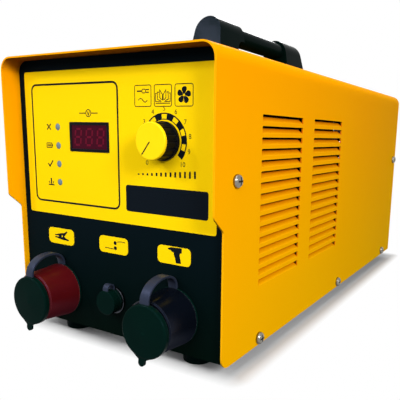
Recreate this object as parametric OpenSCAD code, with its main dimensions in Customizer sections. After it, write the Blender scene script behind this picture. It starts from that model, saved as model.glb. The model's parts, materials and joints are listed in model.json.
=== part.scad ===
// Portable capacitor-discharge stud welder.
// Sizes are in millimetres. The pieces are drawn in the case's own frame: X to the right, Y to the rear with
// the front panel's face at 0, Z up with the cover's lower edge at 0. in_frame() then stands the machine on
// its feet, with the origin under the middle of its whole outline.

/* [Case] */
// Outer width of the cover
case_w = 200; // [192:1:230]
// Height of the cover, lower edge to top
case_h = 213; // [208:1:240]
// Depth from the front panel's face to the cover's rear edge
case_d = 447; // [435:1:520]
// Thickness of the steel sheet
sheet = 1.2; // [0.8:0.1:2]
// Outer radius of the cover's two bends
bend_r = 10.4; // [6:0.2:14]
// How far the hood stands out in front of the panel
hood_out = 15.4; // [10:0.2:22]
// How far the cover's lower front edge stands out in front of the panel
lip_out = 4; // [2:0.5:8]
// Height of the middle of the step between hood and lower edge
step_z = 101; // [96:1:110]
// Height that the step takes
step_h = 10; // [6:0.5:14]
// Radius of the step's two corners
step_r = 3.5; // [1:0.5:4]
// Radius of the cover's lower front corners
lip_corner_r = 8; // [2:0.5:9]
// Gap between the cover and the sheets inside it
cover_gap = 0.3; // [0.1:0.1:0.6]
// How far the rear panel is set in from the cover's rear edge
rear_in = 2; // [1:0.5:8]

/* [Louvres] */
// Rows of louvres
louvre_rows = 16; // [8:1:17]
// Columns of louvres on each side
louvre_cols = 2; // [1:1:3]
// Length of one louvre
louvre_l = 72; // [50:1:80]
// Plain sheet between two columns
louvre_gap = 25; // [15:1:35]
// Distance from the front panel's face to the first column
louvre_y = 45.5; // [40:0.5:60]
// Distance of the top row from the cover's top
louvre_below = 40.6; // [30:0.2:60]
// Height of the lowest row's lower edge
louvre_low_z = 47.4; // [30:0.2:60]
// How far a louvre's tongue is pushed in
louvre_depth = 4.2; // [3:0.1:6]
// How much lower than its slot a tongue ends
louvre_short = 1.5; // [1:0.1:2]
// Radius of a slot's upper corners
louvre_r = 1.2; // [0.6:0.1:1.6]
// Shear gap at the ends of a tongue
louvre_end_gap = 0.4; // [0.2:0.1:0.8]

/* [Tray and feet] */
// Thickness of the tray's sheet
tray_t = 1.5; // [1:0.1:2]
// Height of the tray's underside above the cover's lower edge
tray_z = 0.6; // [0.2:0.1:1.5]
// How far the tray's front edge lies behind the front panel's face
tray_in = 5; // [2:0.5:8]
// Gap between the tray's underside and the panels' lower edges
panel_up = 1.7; // [1.6:0.1:3]
// Height of the tray's upturned sides
tray_side_h = 14; // [12:1:16]
// Outer bend radius of the tray
tray_bend_r = 2.5; // [2.1:0.1:4]
// Length of the panels' side flanges
flange_l = 20; // [16:1:26]
// Height of a foot
foot_h = 10.6; // [9:0.2:16]
// Radius of a foot where it meets the tray
foot_r = 12; // [8:0.5:13]
// Radius of a foot where it meets the floor
foot_tip_r = 11.5; // [7.5:0.5:12]
// Distance of the feet from the tray's sides
foot_side = 35.5; // [25:0.5:50]
// Distance of the feet from the panels
foot_y = 22; // [20:1:45]

/* [Screws] */
// Nominal diameter of the case screws
screw_d = 5; // [4:0.5:5]
// Length of a case screw under its head
screw_l = 12; // [8:1:16]
// Clearance round a screw in its hole
screw_gap = 0.15; // [0.1:0.05:0.3]
// Height of the screws in the panels' flanges
flange_screw_z = 128; // [110:1:160]
// Distance of those screws from the panels' outer faces
flange_screw_in = 9.8; // [7:0.2:12]
// Height of the screws in the tray's sides
tray_screw_z = 5.6; // [5.4:0.1:7]
// Distance of the first of those screws from the front panel
tray_screw_front = 49; // [35:1:60]
// Distance of the last of those screws from the rear panel
tray_screw_rear = 39; // [35:1:60]

/* [Fits] */
// Clearance round a part that passes through a panel
panel_gap = 0.2; // [0.1:0.05:0.3]
// Clearance between a nut's bore and its thread
thread_gap = 0.1; // [0.05:0.05:0.2]
// Running clearance of a shaft or pin in its bearing
bearing_gap = 0.05; // [0.02:0.01:0.1]

/* [Handle] */
// Length of the handle at its foot
handle_l = 197.5; // [185:0.5:215]
// Width of the handle's blocks at their foot
handle_w = 38; // [32:1:40]
// Height of the handle above the cover
handle_h = 49.8; // [47:0.1:58]
// Distance of the handle's front end from the front panel's face
handle_y = 116; // [106:1:136]
// Radius of the blocks' round tops
block_r = 14; // [12:0.5:15]
// Length of the front block at its foot
front_block_l = 37.5; // [32:0.5:44]
// Length of the rear block at its foot
rear_block_l = 52; // [46:1:60]
// How far the front end leans back over its height
front_lean = 11; // [4:0.5:14]
// How far the rear end leans forward over its height
rear_lean = 15.5; // [12:0.5:24]
// Width of the grip
grip_w = 22; // [18:0.5:24]
// Height of the grip's own section
grip_h = 14.7; // [14.2:0.1:18]
// How far the grip's top lies below the blocks' tops
grip_drop = 4.1; // [2:0.1:5]
// Radius of the grip's edges
grip_r = 7; // [4:0.5:7]
// Radius of the front corner of the finger gap
finger_r = 9; // [5:0.5:12]
// Depth of the screw holes in the handle
handle_hole = 14; // [11:1:18]

/* [Front panel] */
// Plain panel beside the control label
label_side = 6.4; // [4:0.1:10]
// Plain panel above the control label
label_above = 8.6; // [5:0.1:12]
// Height of the control label's lower edge
label_low_z = 91.9; // [88:0.1:96]
// Thickness of the label film
label_t = 0.4; // [0.2:0.1:0.6]
// Width of the display's bezel
bezel_w = 40.6; // [38:0.2:46]
// Height of the display's bezel
bezel_h = 21.9; // [20:0.2:26]
// Width of the bezel's rim
bezel_rim = 2; // [1.5:0.1:3]
// Distance of the display's middle from the label's left edge
display_side = 70.3; // [66:0.1:74]
// Height of the display's middle above the label's lower edge
display_up = 61.8; // [55:0.2:70]
// Distance of the lamps from the label's left edge
lamp_side = 36.5; // [32:0.1:42]
// Height of the lowest lamp above the label's lower edge
lamp_up = 26; // [20:0.5:32]
// Distance from lamp to lamp
lamp_pitch = 14.3; // [12:0.1:16]
// Number of lamps
lamps = 4; // [2:1:5]
// Lamp radius
lamp_r = 2.5; // [1.5:0.1:3]
// Width of a socket label
socket_label_w = 28.8; // [24:0.2:34]
// Height of a socket label
socket_label_h = 12.8; // [11:0.2:15]
// Corner radius of a socket label
socket_label_r = 3.5; // [1:0.1:5]
// Height of the socket labels above the sockets
socket_label_up = 43.9; // [42:0.1:48]
// Distance from the panel's rear face to the display board
board_back = 6.8; // [6:0.2:9]

/* [Knob] */
// Distance of the dial's middle from the label's right edge
dial_side = 42.8; // [36:0.1:48]
// Height of the dial's middle above the label's lower edge
dial_up = 60.7; // [54:0.1:66]
// Radius of the knob
knob_r = 12.5; // [11:0.25:15]
// Radius of the knob's foot
knob_foot_r = 13.3; // [11.5:0.05:16]
// Distance of the knob's face from the panel
knob_h = 15.5; // [13:0.5:20]
// Thickness of the knob's coloured cap
knob_cap_t = 2; // [1.5:0.1:3]
// Number of flutes round the knob
flutes = 16; // [12:1:30]
// Radius of a flute
flute_r = 0.9; // [0.6:0.1:1.2]
// Pointer's angle from the top at rest, seen from the front
pointer_rest = -142; // [-150:1:0]
// Radius of the potentiometer's shaft
shaft_r = 3; // [2:0.1:3]

/* [Welding sockets] */
// Distance of the sockets from the panel's sides
socket_side = 41.5; // [36:0.5:48]
// Height of the sockets
socket_z = 30; // [26:0.5:34]
// Radius of a socket's barrel at its mouth
barrel_r = 19; // [18:0.1:20]
// Radius of a barrel at its foot
barrel_foot_r = 21.2; // [20.2:0.1:21.2]
// Length of a barrel in front of the panel
barrel_l = 28.8; // [27:0.2:34]
// Radius of the rubber ring behind the barrel's foot
ring_r = 21.4; // [21.4:0.1:23]
// Thickness of that ring
ring_t = 2.2; // [2.2:0.1:3]
// Radius of the neck that passes through the panel
neck_r = 13.9; // [13:0.1:15]
// Radius of the barrel's open mouth
mouth_r = 15; // [13.5:0.1:16]
// Depth of the mouth
mouth_d = 9; // [8:0.5:12]
// Radius of the brass contact
core_r = 11; // [9.5:0.1:12]
// Radius of the bore that takes the cable's plug
plug_bore_r = 6.5; // [5:0.1:7.5]
// Depth of that bore
plug_bore_d = 28; // [20:1:30]
// Thickness of a socket nut
socket_nut_t = 7; // [5:0.5:9]
// Width across flats of a socket nut
socket_nut_w = 34; // [32:0.5:36]
// Radius of a dust cap
cap_r = 18.85; // [18:0.05:20]
// How far below its socket's axis a dust cap's disc is centred
cap_drop = 1.5; // [0:0.1:2]
// Height of the shoulder that a dust cap's disc stands on
cap_shoulder = 0.9; // [0.5:0.1:1.5]
// Thickness of a dust cap's disc
cap_t = 3.6; // [3:0.1:6]
// How far a dust cap's face bulges
cap_dome = 0.6; // [0.2:0.1:1.5]
// Length of the spigot that a dust cap puts in the mouth
spigot_l = 6; // [4:0.5:7]
// Gap between a dust cap and what it closes
cap_gap = 0.3; // [0.2:0.05:0.5]
// Width of the pull tab
tab_w = 5.2; // [4:0.2:8]
// How far the pull tab reaches below its cap
tab_l = 6; // [4:0.5:7]
// Thickness of the pull tab
tab_t = 2; // [1.5:0.1:2.4]
// Angle that the pull tab stands off straight down, to the left as seen from the front
tab_tilt = 6; // [0:1:10]
// Width of a strap
strap_w = 7.5; // [5:0.5:9]
// Thickness of a strap
strap_t = 2; // [1.4:0.1:2.5]
// How far a strap's arch rises above the ring
strap_rise = 11; // [9:0.1:14]

/* [Trigger connector] */
// Height of the trigger connector
trigger_z = 31; // [28:0.5:34]
// Radius of its barrel
trigger_r = 7.8; // [6:0.1:8.5]
// Length of its barrel in front of the panel
trigger_l = 9; // [8:0.5:12]
// Radius of its flange
trigger_flange_r = 10.5; // [9.5:0.1:12]
// Thickness of its flange
trigger_flange_t = 2; // [1:0.1:3]
// Wall of its rubber cap
trigger_cap_wall = 1.15; // [0.8:0.05:1.5]
// Width of its strap
trigger_strap_w = 5; // [4:0.5:6]
// Thickness of its strap and ring
trigger_strap_t = 1.4; // [1:0.1:1.8]
// How far its strap's arch rises above the ring
trigger_strap_rise = 4.7; // [4:0.1:6]

/* [Inside] */
// Radius of a storage capacitor
can_r = 25; // [20:0.5:26]
// Height of a storage capacitor's can
can_h = 105; // [90:1:112]
// Distance from can to can along the machine
can_pitch_y = 54; // [53:1:58]
// Distance from can to can across the machine
can_pitch_x = 60; // [54:1:64]
// Cans in one row
cans_in_row = 3; // [2:1:3]
// Distance of the first can's middle from the front panel
bank_y = 90; // [88:1:100]
// Height of the clamp plate
clamp_z = 70; // [50:1:80]
// Distance from the bars up to the control board
control_up = 13; // [8:0.5:20]
// Width of the transformer's core
core_w = 110; // [96:1:120]
// Height of the transformer's core
core_h = 92; // [84:1:100]
// Depth of the transformer's core
core_d = 50; // [40:1:54]
// Length of the heat sink
sink_l = 50; // [40:1:54]
// Width of the heat sink
sink_w = 130; // [128:1:150]
// Height of the heat sink
sink_h = 42; // [30:1:50]
// Number of cooling fins
fins = 13; // [9:2:15]
// Thickness of the insulation sheets behind the louvres
barrier_t = 1; // [0.8:0.1:2]
// Width of the foot that such a sheet stands on
barrier_foot = 12; // [6:0.5:12]
// How far such a sheet reaches past the louvres
barrier_past = 14; // [6:0.5:16]

/* [Rear panel] */
// Width of the fan
fan_w = 92; // [80:1:92]
// Depth of the fan
fan_d = 25; // [20:1:32]
// Distance of the fan's middle from the cover's top
fan_below = 75; // [66:1:82]
// Number of fan blades
fan_blades = 7; // [5:1:9]
// Radius of the fan's hub
fan_hub_r = 17; // [14:0.5:20]
// Radius of the guard's wire
wire_r = 0.9; // [0.7:0.1:1.2]
// Number of rings in the guard
guard_rings = 5; // [4:1:6]
// Distance of the power switch from the rear panel's side
switch_side = 36.5; // [30:0.5:38]
// Height of the power switch
switch_z = 45; // [40:1:55]
// Tilt of the rocker to each side
rocker_tilt = 9; // [6:0.5:10]
// Distance of the cable gland from the rear panel's side
gland_side = 36.5; // [30:0.5:48]
// Height of the cable gland
gland_z = 40; // [34:1:50]
// Radius of the gland's cable bore
gland_bore_r = 5; // [4:0.1:6]
// How far the gland stands out of the rear panel
gland_out = 22; // [18:1:28]

/* [Hidden] */
$fn = 72;
// Overlap of a cutter past the face that it cuts
past = 1;

// Space inside the cover, and the sheets that stand in it
inner_w = case_w - 2 * (sheet + cover_gap);
inner_h = case_h - sheet - cover_gap;
inner_r = bend_r - sheet - cover_gap;
tray_top = tray_z + tray_t;
rear_face = case_d - rear_in;
rear_wall = rear_face - sheet;
flange_gap = 1;
flange_z = [tray_z + tray_side_h + flange_gap, inner_h - inner_r - flange_gap];

// Louvre rows, spread evenly between the highest and the lowest
slot_share = 0.625;
louvre_top_z = case_h - louvre_below;
louvre_pitch = (louvre_top_z - louvre_low_z) / (louvre_rows - 1 + slot_share);
louvre_slot = slot_share * louvre_pitch;

// Case screws as [distance from the front panel, height], alike on both sides
side_screws = [
  [flange_screw_in + sheet, flange_screw_z],
  [rear_face - flange_screw_in, flange_screw_z],
  [tray_screw_front, tray_screw_z],
  [(tray_screw_front + rear_face - tray_screw_rear) / 2, tray_screw_z],
  [rear_face - tray_screw_rear, tray_screw_z]
];
screw_hole_r = screw_d / 2 + screw_gap;
foot_x = inner_w / 2 - foot_side;
foot_places = [for (x = [-foot_x, foot_x], y = [foot_y, rear_face - foot_y]) [x, y]];
foot_bore = 6;

// Places on the control label
label_w = inner_w - 2 * label_side;
label_h = inner_h - label_above - label_low_z;
label_z = label_low_z + label_h / 2;
lamp_x = lamp_side - label_w / 2;
display_x = display_side - label_w / 2;
dial_x = label_w / 2 - dial_side;
display_z = label_low_z + display_up;
dial_z = label_low_z + dial_up;
lamp_zs = [for (i = [0 : lamps - 1]) label_low_z + lamp_up + i * lamp_pitch];
lamp_hole_r = lamp_r + panel_gap;
bezel_gap = 0.1;
filter_w = bezel_w - 2 * bezel_rim - 2 * bezel_gap;
filter_h = bezel_h - 2 * bezel_rim - 2 * bezel_gap;
board_y = sheet + board_back;
board_beside = 31;
board_beyond = 6;
board_margin = 8;
post_in = 5;
display_board_w = display_x + bezel_w / 2 + board_beyond - lamp_x + board_beside;
display_board_h = label_h - 2 * board_margin;
display_board_x = lamp_x - board_beside + display_board_w / 2;

// Knob and potentiometer, as distances in front of the panel
bush_wall = 0.5;
bush_r = shaft_r + bush_wall;
bush_l = 5;
pot_r = 8.5;
pot_t = 10;
pot_floor = 1;
pot_nut_w = 10;
pot_nut_t = 2.2;
knob_gap = 0.6;
knob_low = label_t + knob_gap;
knob_recess_r = 7.5;
knob_roof = 2;
shaft_top = knob_h - knob_cap_t - knob_roof;

// Welding sockets, as distances in front of the panel
socket_x = inner_w / 2 - socket_side;
rim = barrel_l + cap_gap;
disc_low = rim + cap_shoulder;
cap_front = disc_low + cap_t + cap_dome;
cap_shoulder_r = mouth_r + 1.8;
cap_edge_r = 1.2;
cap_z = socket_z - cap_drop;
neck_l = 14;
press_gap = 0.1;
groove_r = barrel_r - 0.6;
groove_gap = 0.2;
barrel_edge = 0.8;
core_in = 2;
core_back = -22;
core_tail = -30;
tail_r = 8;
tab_root = 1.2;
tab_turn = 36;
tab_inset = 0.4;
strap_lift = 0.2;
strap_root = 3;
strap_near = ring_t / 2;
strap_far = disc_low + cap_t / 2;
ring_top = socket_z + ring_r + strap_lift;
cap_top = cap_z + cap_r + strap_lift;
strap_arch_r = (strap_far - strap_near) / 2;
strap_z = ring_top + strap_rise - strap_t / 2 - strap_arch_r;

// Trigger connector, as distances in front of the panel
trigger_wall = 1.5;
trigger_back = 10;
trigger_edge = 0.4;
trigger_ring_gap = 0.15;
trigger_lift = 0.3;
trigger_root = 0.6;
trigger_roof = 1.2;
trigger_pin_r = 0.8;
trigger_pin_x = 2;
trigger_nut_t = 3;
trigger_nut_wall = 2.2;
insert_back = 9;
insert_in = 4;
pin_back = 13;
pin_in = 1;
trigger_ring_r = trigger_r + trigger_ring_gap + trigger_strap_t;
trigger_ring = [trigger_flange_t, trigger_flange_t + trigger_strap_t];
trigger_cap_low = trigger_ring[1] + cap_gap;
trigger_cap_r = trigger_r + cap_gap + trigger_cap_wall;
trigger_cap_end = trigger_l + cap_gap;
trigger_cap_front = trigger_cap_end + trigger_roof;
trigger_near = trigger_ring[0] + trigger_strap_t / 2;
trigger_far = trigger_cap_front - trigger_strap_t / 2 - press_gap;
trigger_ring_top = trigger_z + trigger_ring_r + trigger_lift;
trigger_cap_top = trigger_z + trigger_cap_r + trigger_lift;
trigger_arch_r = (trigger_far - trigger_near) / 2;
trigger_strap_z = trigger_ring_top + trigger_strap_rise - trigger_strap_t / 2 - trigger_arch_r;

// Handle outline, along the machine and up from the cover
gap_top = handle_h - grip_drop - grip_h;
front_end = front_block_l;
rear_start = handle_l - rear_block_l;
shoulder_l = 5;
step_l = 8;
block_relief = 1;
grip_in = 5;
rear_face_lean = 1.5;
rear_knee = [6, 24];
knee_r = 40;
edge_r = 6;
rear_edge_r = 10;
handle_screw_y = [handle_y + front_block_l / 2, handle_y + handle_l - rear_block_l / 2];

// Power parts on the tray
clamp_t = 1.5;
bank_l = (cans_in_row - 1) * can_pitch_y;
clamp_x = can_pitch_x / 2 + can_r + 11;
clamp_ys = [bank_y - can_r - 5, bank_y + bank_l + can_r + 16];
post_x = clamp_x - 8;
post_ys = [clamp_ys[0] + 8, clamp_ys[1] - 8];
post_r = 4;
can_top = tray_top + can_h;
terminal_r = 5;
terminal_h = 4;
terminal_x = 11;
bar_z = can_top + terminal_h;
bar_t = 3;
bar_w = 14;
bar_over = 12;
bar_reach = 42;
bar_lap = 12;
bar_drop = 10;
output_bar_w = 31;
board_t = 1.6;
board_edge = 2;
board_corner_r = 3;
control_z = bar_z + 2 * bar_t + control_up;
core_behind = 76;
core_y = bank_y + bank_l + can_r + core_behind;
bracket_t = 2;
core_z = tray_top + bracket_t;
leg_w = 28.6;
window_w = 18.4;
yoke_h = 18.4;
winding_gap = 0.3;
barrier_clear = 1.5;
barrier_x = case_w / 2 - screw_l - barrier_clear;
barrier_ys = [louvre_y - barrier_past, louvre_y + louvre_cols * (louvre_l + louvre_gap) - louvre_gap + barrier_past];

// Rear of the machine
fan_z = case_h - fan_below;
fan_front = rear_wall - fan_d;
fan_hole = fan_w / 2 - 4.75;
fan_bore_r = fan_w / 2 - 3;
fan_spider = 3;
fan_clear = 3;
fan_tip_gap = 1.2;
fan_blade_t = 1.5;
fan_pin_r = 1.5;
fan_cover = 1;
fan_screw_r = 2;
fan_nut_t = 3.2;
guard_out = 2 * wire_r;
sink_gap = 6;
sink_y = fan_front - sink_gap - sink_l;
sink_edge = 2;
bridge_side = 28.5;
bridge_h = 10;
bridge_gap = 5.5;
tag_in = 5;
tag_w = 6;
tag_t = 0.8;
tag_h = 9;
thyristor_w = sink_w - 2 * sink_edge - bridge_side - bridge_gap;
thyristor_d = 32;
thyristor_base = 8;
thyristor_h = 18;
thyristor_in = 3;
stud_r = 6;
stud_h = 4;
sink_base = 8;
fin_t = 2.5;
switch_x = switch_side - inner_w / 2;
switch_w = 22;
switch_h = 28;
switch_rim = 2;
switch_d = 22;
rocker_w = 16.6;
rocker_h = 22;
rocker_pin_r = 1.5;
rocker_deep = 3;
gland_x = inner_w / 2 - gland_side;
gland_neck_r = gland_bore_r + 4.8;
gland_hex_t = 6;
gland_nut_t = 5;

// Middle of the whole outline along the machine
mid_y = (rear_face + gland_out - cap_front) / 2;

// Unit vector along v
function unit(v) = v / norm(v);
// Points of the arc that rounds the corner b between a and c with radius r
function fillet(a, b, c, r, steps = 6) =
  let (
    u = unit(a - b),
    v = unit(c - b),
    half = acos(u * v) / 2,
    centre = b + unit(u + v) * r / sin(half),
    first = b + u * r / tan(half) - centre,
    last = b + v * r / tan(half) - centre,
    from = atan2(first.y, first.x),
    turn = atan2(last.y, last.x) - from,
    sweep = turn > 180 ? turn - 360 : turn < -180 ? turn + 360 : turn
  )
  [for (i = [0 : steps]) centre + r * [cos(from + sweep * i / steps), sin(from + sweep * i / steps)]];
function flat(p) = [p[0], p[1]];
// Outline through points [x, y, radius], with each corner rounded by its radius
function rounded(p) =
  let (n = len(p))
  [for (i = [0 : n - 1]) each
    p[i][2] > 0
      ? fillet(flat(p[(i + n - 1) % n]), flat(p[i]), flat(p[(i + 1) % n]), p[i][2])
      : [flat(p[i])]];

// Stands the machine on its feet, over the middle of its outline
module in_frame() {
  translate([0, -mid_y, foot_h - tray_z]) children();
}
// Extrudes an outline drawn as [x, z] from y0 to y1
module along_y(y0, y1) {
  translate([0, y1, 0]) rotate([90, 0, 0]) linear_extrude(y1 - y0) children();
}
// Extrudes an outline drawn as [y, z] from x0 to x1
module along_x(x0, x1) {
  translate([x0, 0, 0]) rotate([90, 0, 90]) linear_extrude(x1 - x0) children();
}
// Turns a shape so that its Z axis points out of the front panel
module to_front(x, z) {
  translate([x, 0, z]) rotate([90, 0, 0]) children();
}
// Turns a shape so that its Z axis points out of the rear panel
module to_rear(x, z) {
  translate([x, rear_face, z]) rotate([-90, 0, 0]) children();
}
module both_sides() {
  children();
  mirror([1, 0, 0]) children();
}
module rounded_rect(w, h, r) {
  square([w - 2 * r, h], center = true);
  square([w, h - 2 * r], center = true);
  for (x = [-1, 1], y = [-1, 1]) translate([x * (w / 2 - r), y * (h / 2 - r)]) circle(r);
}
// Outline with a flat foot and two round upper corners
module arch(w, h, r) {
  translate([-w / 2, 0]) square([w, h - r]);
  translate([r - w / 2, 0]) square([w - 2 * r, h]);
  for (x = [-1, 1]) translate([x * (w / 2 - r), h - r]) circle(r);
}
// Outline with a round top and straight sides that spread to its foot
module bullet(w, h, r) {
  d = norm([w / 2, h - r]);
  turn = atan2(h - r, -w / 2) - asin(r / d);
  touch = [w / 2, 0] + sqrt(d * d - r * r) * [cos(turn), sin(turn)];
  polygon([[-w / 2, 0], [w / 2, 0], touch, [-touch.x, touch.y]]);
  translate([0, h - r]) circle(r);
}
module tube(r_out, r_in, h) {
  difference() {
    cylinder(r = r_out, h = h);
    translate([0, 0, -past]) cylinder(r = r_in, h = h + 2 * past);
  }
}
// Hexagon nut, flat on its seat
module hex_nut(w, r_in, h) {
  difference() {
    cylinder(r = w / sqrt(3), h = h, $fn = 6);
    translate([0, 0, -past]) cylinder(r = r_in, h = h + 2 * past);
  }
}
// Pan-head screw with a cross recess, its head above its seat at 0
module pan_screw(d, l) {
  head_r = 0.95 * d;
  head_h = 0.7 * d;
  slot_w = 0.2 * d;
  slot_d = 0.4 * d;
  difference() {
    rotate_extrude() polygon(rounded([
      [0, -l, 0], [d / 2, -l, 0], [d / 2, 0, 0], [head_r, 0, 0], [head_r, head_h, head_h * 0.8], [0, head_h, 0]
    ]));
    for (turn = [0, 90]) rotate(turn)
      translate([-slot_w / 2, -0.55 * d, head_h - slot_d]) cube([slot_w, 1.1 * d, slot_d + past]);
  }
}
// Copies a shape to every side screw, with its Z axis out of the side
module at_side_screws() {
  both_sides()
    for (p = side_screws) translate([case_w / 2, p[0], p[1]]) rotate([0, 90, 0]) children();
}
module side_screw_holes() {
  at_side_screws() translate([0, 0, -flange_l]) cylinder(r = screw_hole_r, h = 2 * flange_l);
}

// Cover: one folded sheet with a stepped hood in front and lanced louvres in both sides
module louvre_places() {
  for (c = [0 : louvre_cols - 1], r = [0 : louvre_rows - 1])
    translate([0, louvre_y + c * (louvre_l + louvre_gap), louvre_top_z - louvre_slot - r * louvre_pitch])
      children();
}
module louvre_slot_cut() {
  along_x(case_w / 2 - sheet - past, case_w / 2 + past) {
    square([louvre_l, louvre_slot - louvre_r]);
    translate([louvre_r, 0]) square([louvre_l - 2 * louvre_r, louvre_slot]);
    for (y = [louvre_r, louvre_l - louvre_r]) translate([y, louvre_slot - louvre_r]) circle(louvre_r);
  }
}
module louvre_tongue() {
  rise = louvre_slot - louvre_short;
  slope = norm([louvre_depth, rise]);
  tip = [case_w / 2 - louvre_depth, rise];
  along_y(louvre_end_gap, louvre_l - louvre_end_gap) polygon([
    [case_w / 2, 0],
    tip,
    tip - sheet * [rise, louvre_depth] / slope,
    [case_w / 2 - sheet, 0]
  ]);
}
module cover() {
  color("orange") in_frame() {
    difference() {
      intersection() {
        along_y(-hood_out, case_d) difference() {
          arch(case_w, case_h, bend_r);
          translate([0, -past]) arch(case_w - 2 * sheet, case_h - sheet + past, bend_r - sheet);
        }
        along_x(-case_w, case_w) polygon(rounded([
          [case_d, 0, 0],
          [case_d, case_h + past, 0],
          [-hood_out, case_h + past, 0],
          [-hood_out, step_z + step_h / 2, step_r],
          [-lip_out, step_z - step_h / 2, step_r],
          [-lip_out, 0, lip_corner_r]
        ]));
      }
      both_sides() louvre_places() louvre_slot_cut();
      side_screw_holes();
      for (y = handle_screw_y) translate([0, y, case_h - bend_r]) cylinder(r = screw_hole_r, h = 2 * bend_r);
    }
    both_sides() louvre_places() louvre_tongue();
  }
}

// Base tray: a shallow folded channel between the panels, which everything stands on
module base_tray() {
  color("dimgray") in_frame() difference() {
    along_y(tray_in, rear_wall) difference() {
      translate([0, tray_z + tray_side_h]) mirror([0, 1]) arch(inner_w, tray_side_h, tray_bend_r);
      translate([0, tray_z + tray_side_h + past]) mirror([0, 1])
        arch(inner_w - 2 * tray_t, tray_side_h - tray_t + past, tray_bend_r - tray_t);
    }
    side_screw_holes();
    for (p = foot_places) translate([p[0], p[1], tray_z - past]) cylinder(r = screw_hole_r, h = tray_t + 2 * past);
  }
}
// Sheet that fills the cover's section at its own zero, with side flanges towards +Y
module panel_sheet() {
  low = tray_z + panel_up;
  along_y(0, sheet) translate([0, low]) arch(inner_w, inner_h - low, inner_r);
  both_sides() translate([inner_w / 2 - sheet, 0, flange_z[0]])
    cube([sheet, flange_l, flange_z[1] - flange_z[0]]);
}
module front_panel() {
  color("#141a1c") in_frame() difference() {
    panel_sheet();
    side_screw_holes();
    along_y(-past, sheet + past) {
      translate([display_x, display_z]) square([bezel_w + 2 * bezel_gap, bezel_h + 2 * bezel_gap], center = true);
      for (z = lamp_zs) translate([lamp_x, z]) circle(lamp_hole_r);
      translate([dial_x, dial_z]) circle(bush_r + panel_gap);
      for (x = [-socket_x, socket_x]) translate([x, socket_z]) circle(neck_r + panel_gap);
      translate([0, trigger_z]) circle(trigger_r + panel_gap);
    }
  }
}
module rear_panel() {
  color("#141a1c") in_frame() difference() {
    translate([0, rear_face, 0]) mirror([0, 1, 0]) panel_sheet();
    side_screw_holes();
    along_y(rear_wall - past, rear_face + past) {
      translate([0, fan_z]) circle(fan_bore_r - fan_cover);
      translate([0, fan_z]) for (x = [-1, 1], z = [-1, 1])
        translate([x * fan_hole, z * fan_hole]) circle(fan_screw_r + screw_gap);
      translate([switch_x, switch_z]) square([switch_w + 2 * panel_gap, switch_h + 2 * panel_gap], center = true);
      translate([gland_x, gland_z]) circle(gland_neck_r + panel_gap);
    }
  }
}

// Handle: two blocks with round tops and a slimmer grip, moulded in one piece
module handle_block(outline) {
  intersection() {
    translate([0, handle_y, case_h]) along_x(-handle_w, handle_w) polygon(rounded(outline));
    along_y(handle_y - past, handle_y + handle_l + past)
      translate([0, case_h]) bullet(handle_w, handle_h, block_r);
  }
}
module handle() {
  top = handle_h + past;
  step = front_end + shoulder_l + step_l;
  color("#10181a") in_frame() difference() {
    union() {
      handle_block([
        [0, 0, 0],
        [front_lean, top, 0],
        [front_end + shoulder_l, top, edge_r],
        [step, handle_h - grip_drop, 0],
        [step, gap_top + block_relief, 0],
        [front_end, gap_top + block_relief, finger_r],
        [front_end, 0, 0]
      ]);
      handle_block([
        [handle_l, 0, 0],
        [rear_start, 0, 0],
        [rear_start, gap_top, edge_r],
        [rear_start - rear_face_lean, top, 0],
        [handle_l - rear_lean, top, rear_edge_r],
        [handle_l - rear_knee[0], rear_knee[1], knee_r]
      ]);
      along_y(handle_y + front_end - grip_in, handle_y + rear_start + grip_in)
        translate([0, case_h + gap_top + grip_h / 2]) rounded_rect(grip_w, grip_h, grip_r);
    }
    for (y = handle_screw_y) translate([0, y, case_h - past]) cylinder(r = screw_hole_r, h = handle_hole + past);
  }
}
module handle_screws() {
  color("silver") in_frame()
    for (y = handle_screw_y) translate([0, y, case_h - sheet]) rotate([180, 0, 0]) pan_screw(screw_d, screw_l);
}
module cover_screws() {
  color("gainsboro") in_frame() at_side_screws() pan_screw(screw_d, screw_l);
}
module rubber_feet() {
  color("#202020") in_frame()
    for (p = foot_places) translate([p[0], p[1], tray_z - foot_h]) rotate_extrude() polygon(rounded([
      [screw_d, 0, 0],
      [foot_tip_r, 0, 1.2],
      [foot_r, foot_h, 0],
      [screw_hole_r, foot_h, 0],
      [screw_hole_r, foot_bore, 0],
      [screw_d, foot_bore, 0]
    ]));
}
module foot_screws() {
  nut_t = 0.8 * screw_d;
  reach = foot_h - foot_bore + tray_t + nut_t + 1.5;
  color("silver") in_frame() for (p = foot_places) translate([p[0], p[1], 0]) {
    translate([0, 0, tray_z - foot_h + foot_bore]) rotate([180, 0, 0]) pan_screw(screw_d, reach);
    translate([0, 0, tray_top]) hex_nut(1.6 * screw_d, screw_d / 2 + thread_gap, nut_t);
  }
}

// Front panel's labels, display and lamps
module control_label() {
  color("gold") in_frame() along_y(-label_t, 0) difference() {
    translate([0, label_z]) rounded_rect(label_w, label_h, 2);
    translate([display_x, display_z]) square([bezel_w + 2 * bezel_gap, bezel_h + 2 * bezel_gap], center = true);
    for (z = lamp_zs) translate([lamp_x, z]) circle(lamp_hole_r);
    translate([dial_x, dial_z]) circle(pot_nut_w * 0.62);
  }
}
module socket_labels() {
  color("gold") in_frame() along_y(-label_t, 0) for (x = [-socket_x, 0, socket_x])
    translate([x, socket_z + socket_label_up]) rounded_rect(socket_label_w, socket_label_h, socket_label_r);
}
module display_bezel() {
  color("black") in_frame() translate([display_x, 0, display_z]) along_y(-label_t - 0.4, 4) difference() {
    rounded_rect(bezel_w, bezel_h, 0.8);
    square([bezel_w - 2 * bezel_rim, bezel_h - 2 * bezel_rim], center = true);
  }
}
module display_filter() {
  color("#46101e") in_frame() translate([display_x, 0, display_z])
    along_y(-label_t, 0.8) square([filter_w, filter_h], center = true);
}
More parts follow.
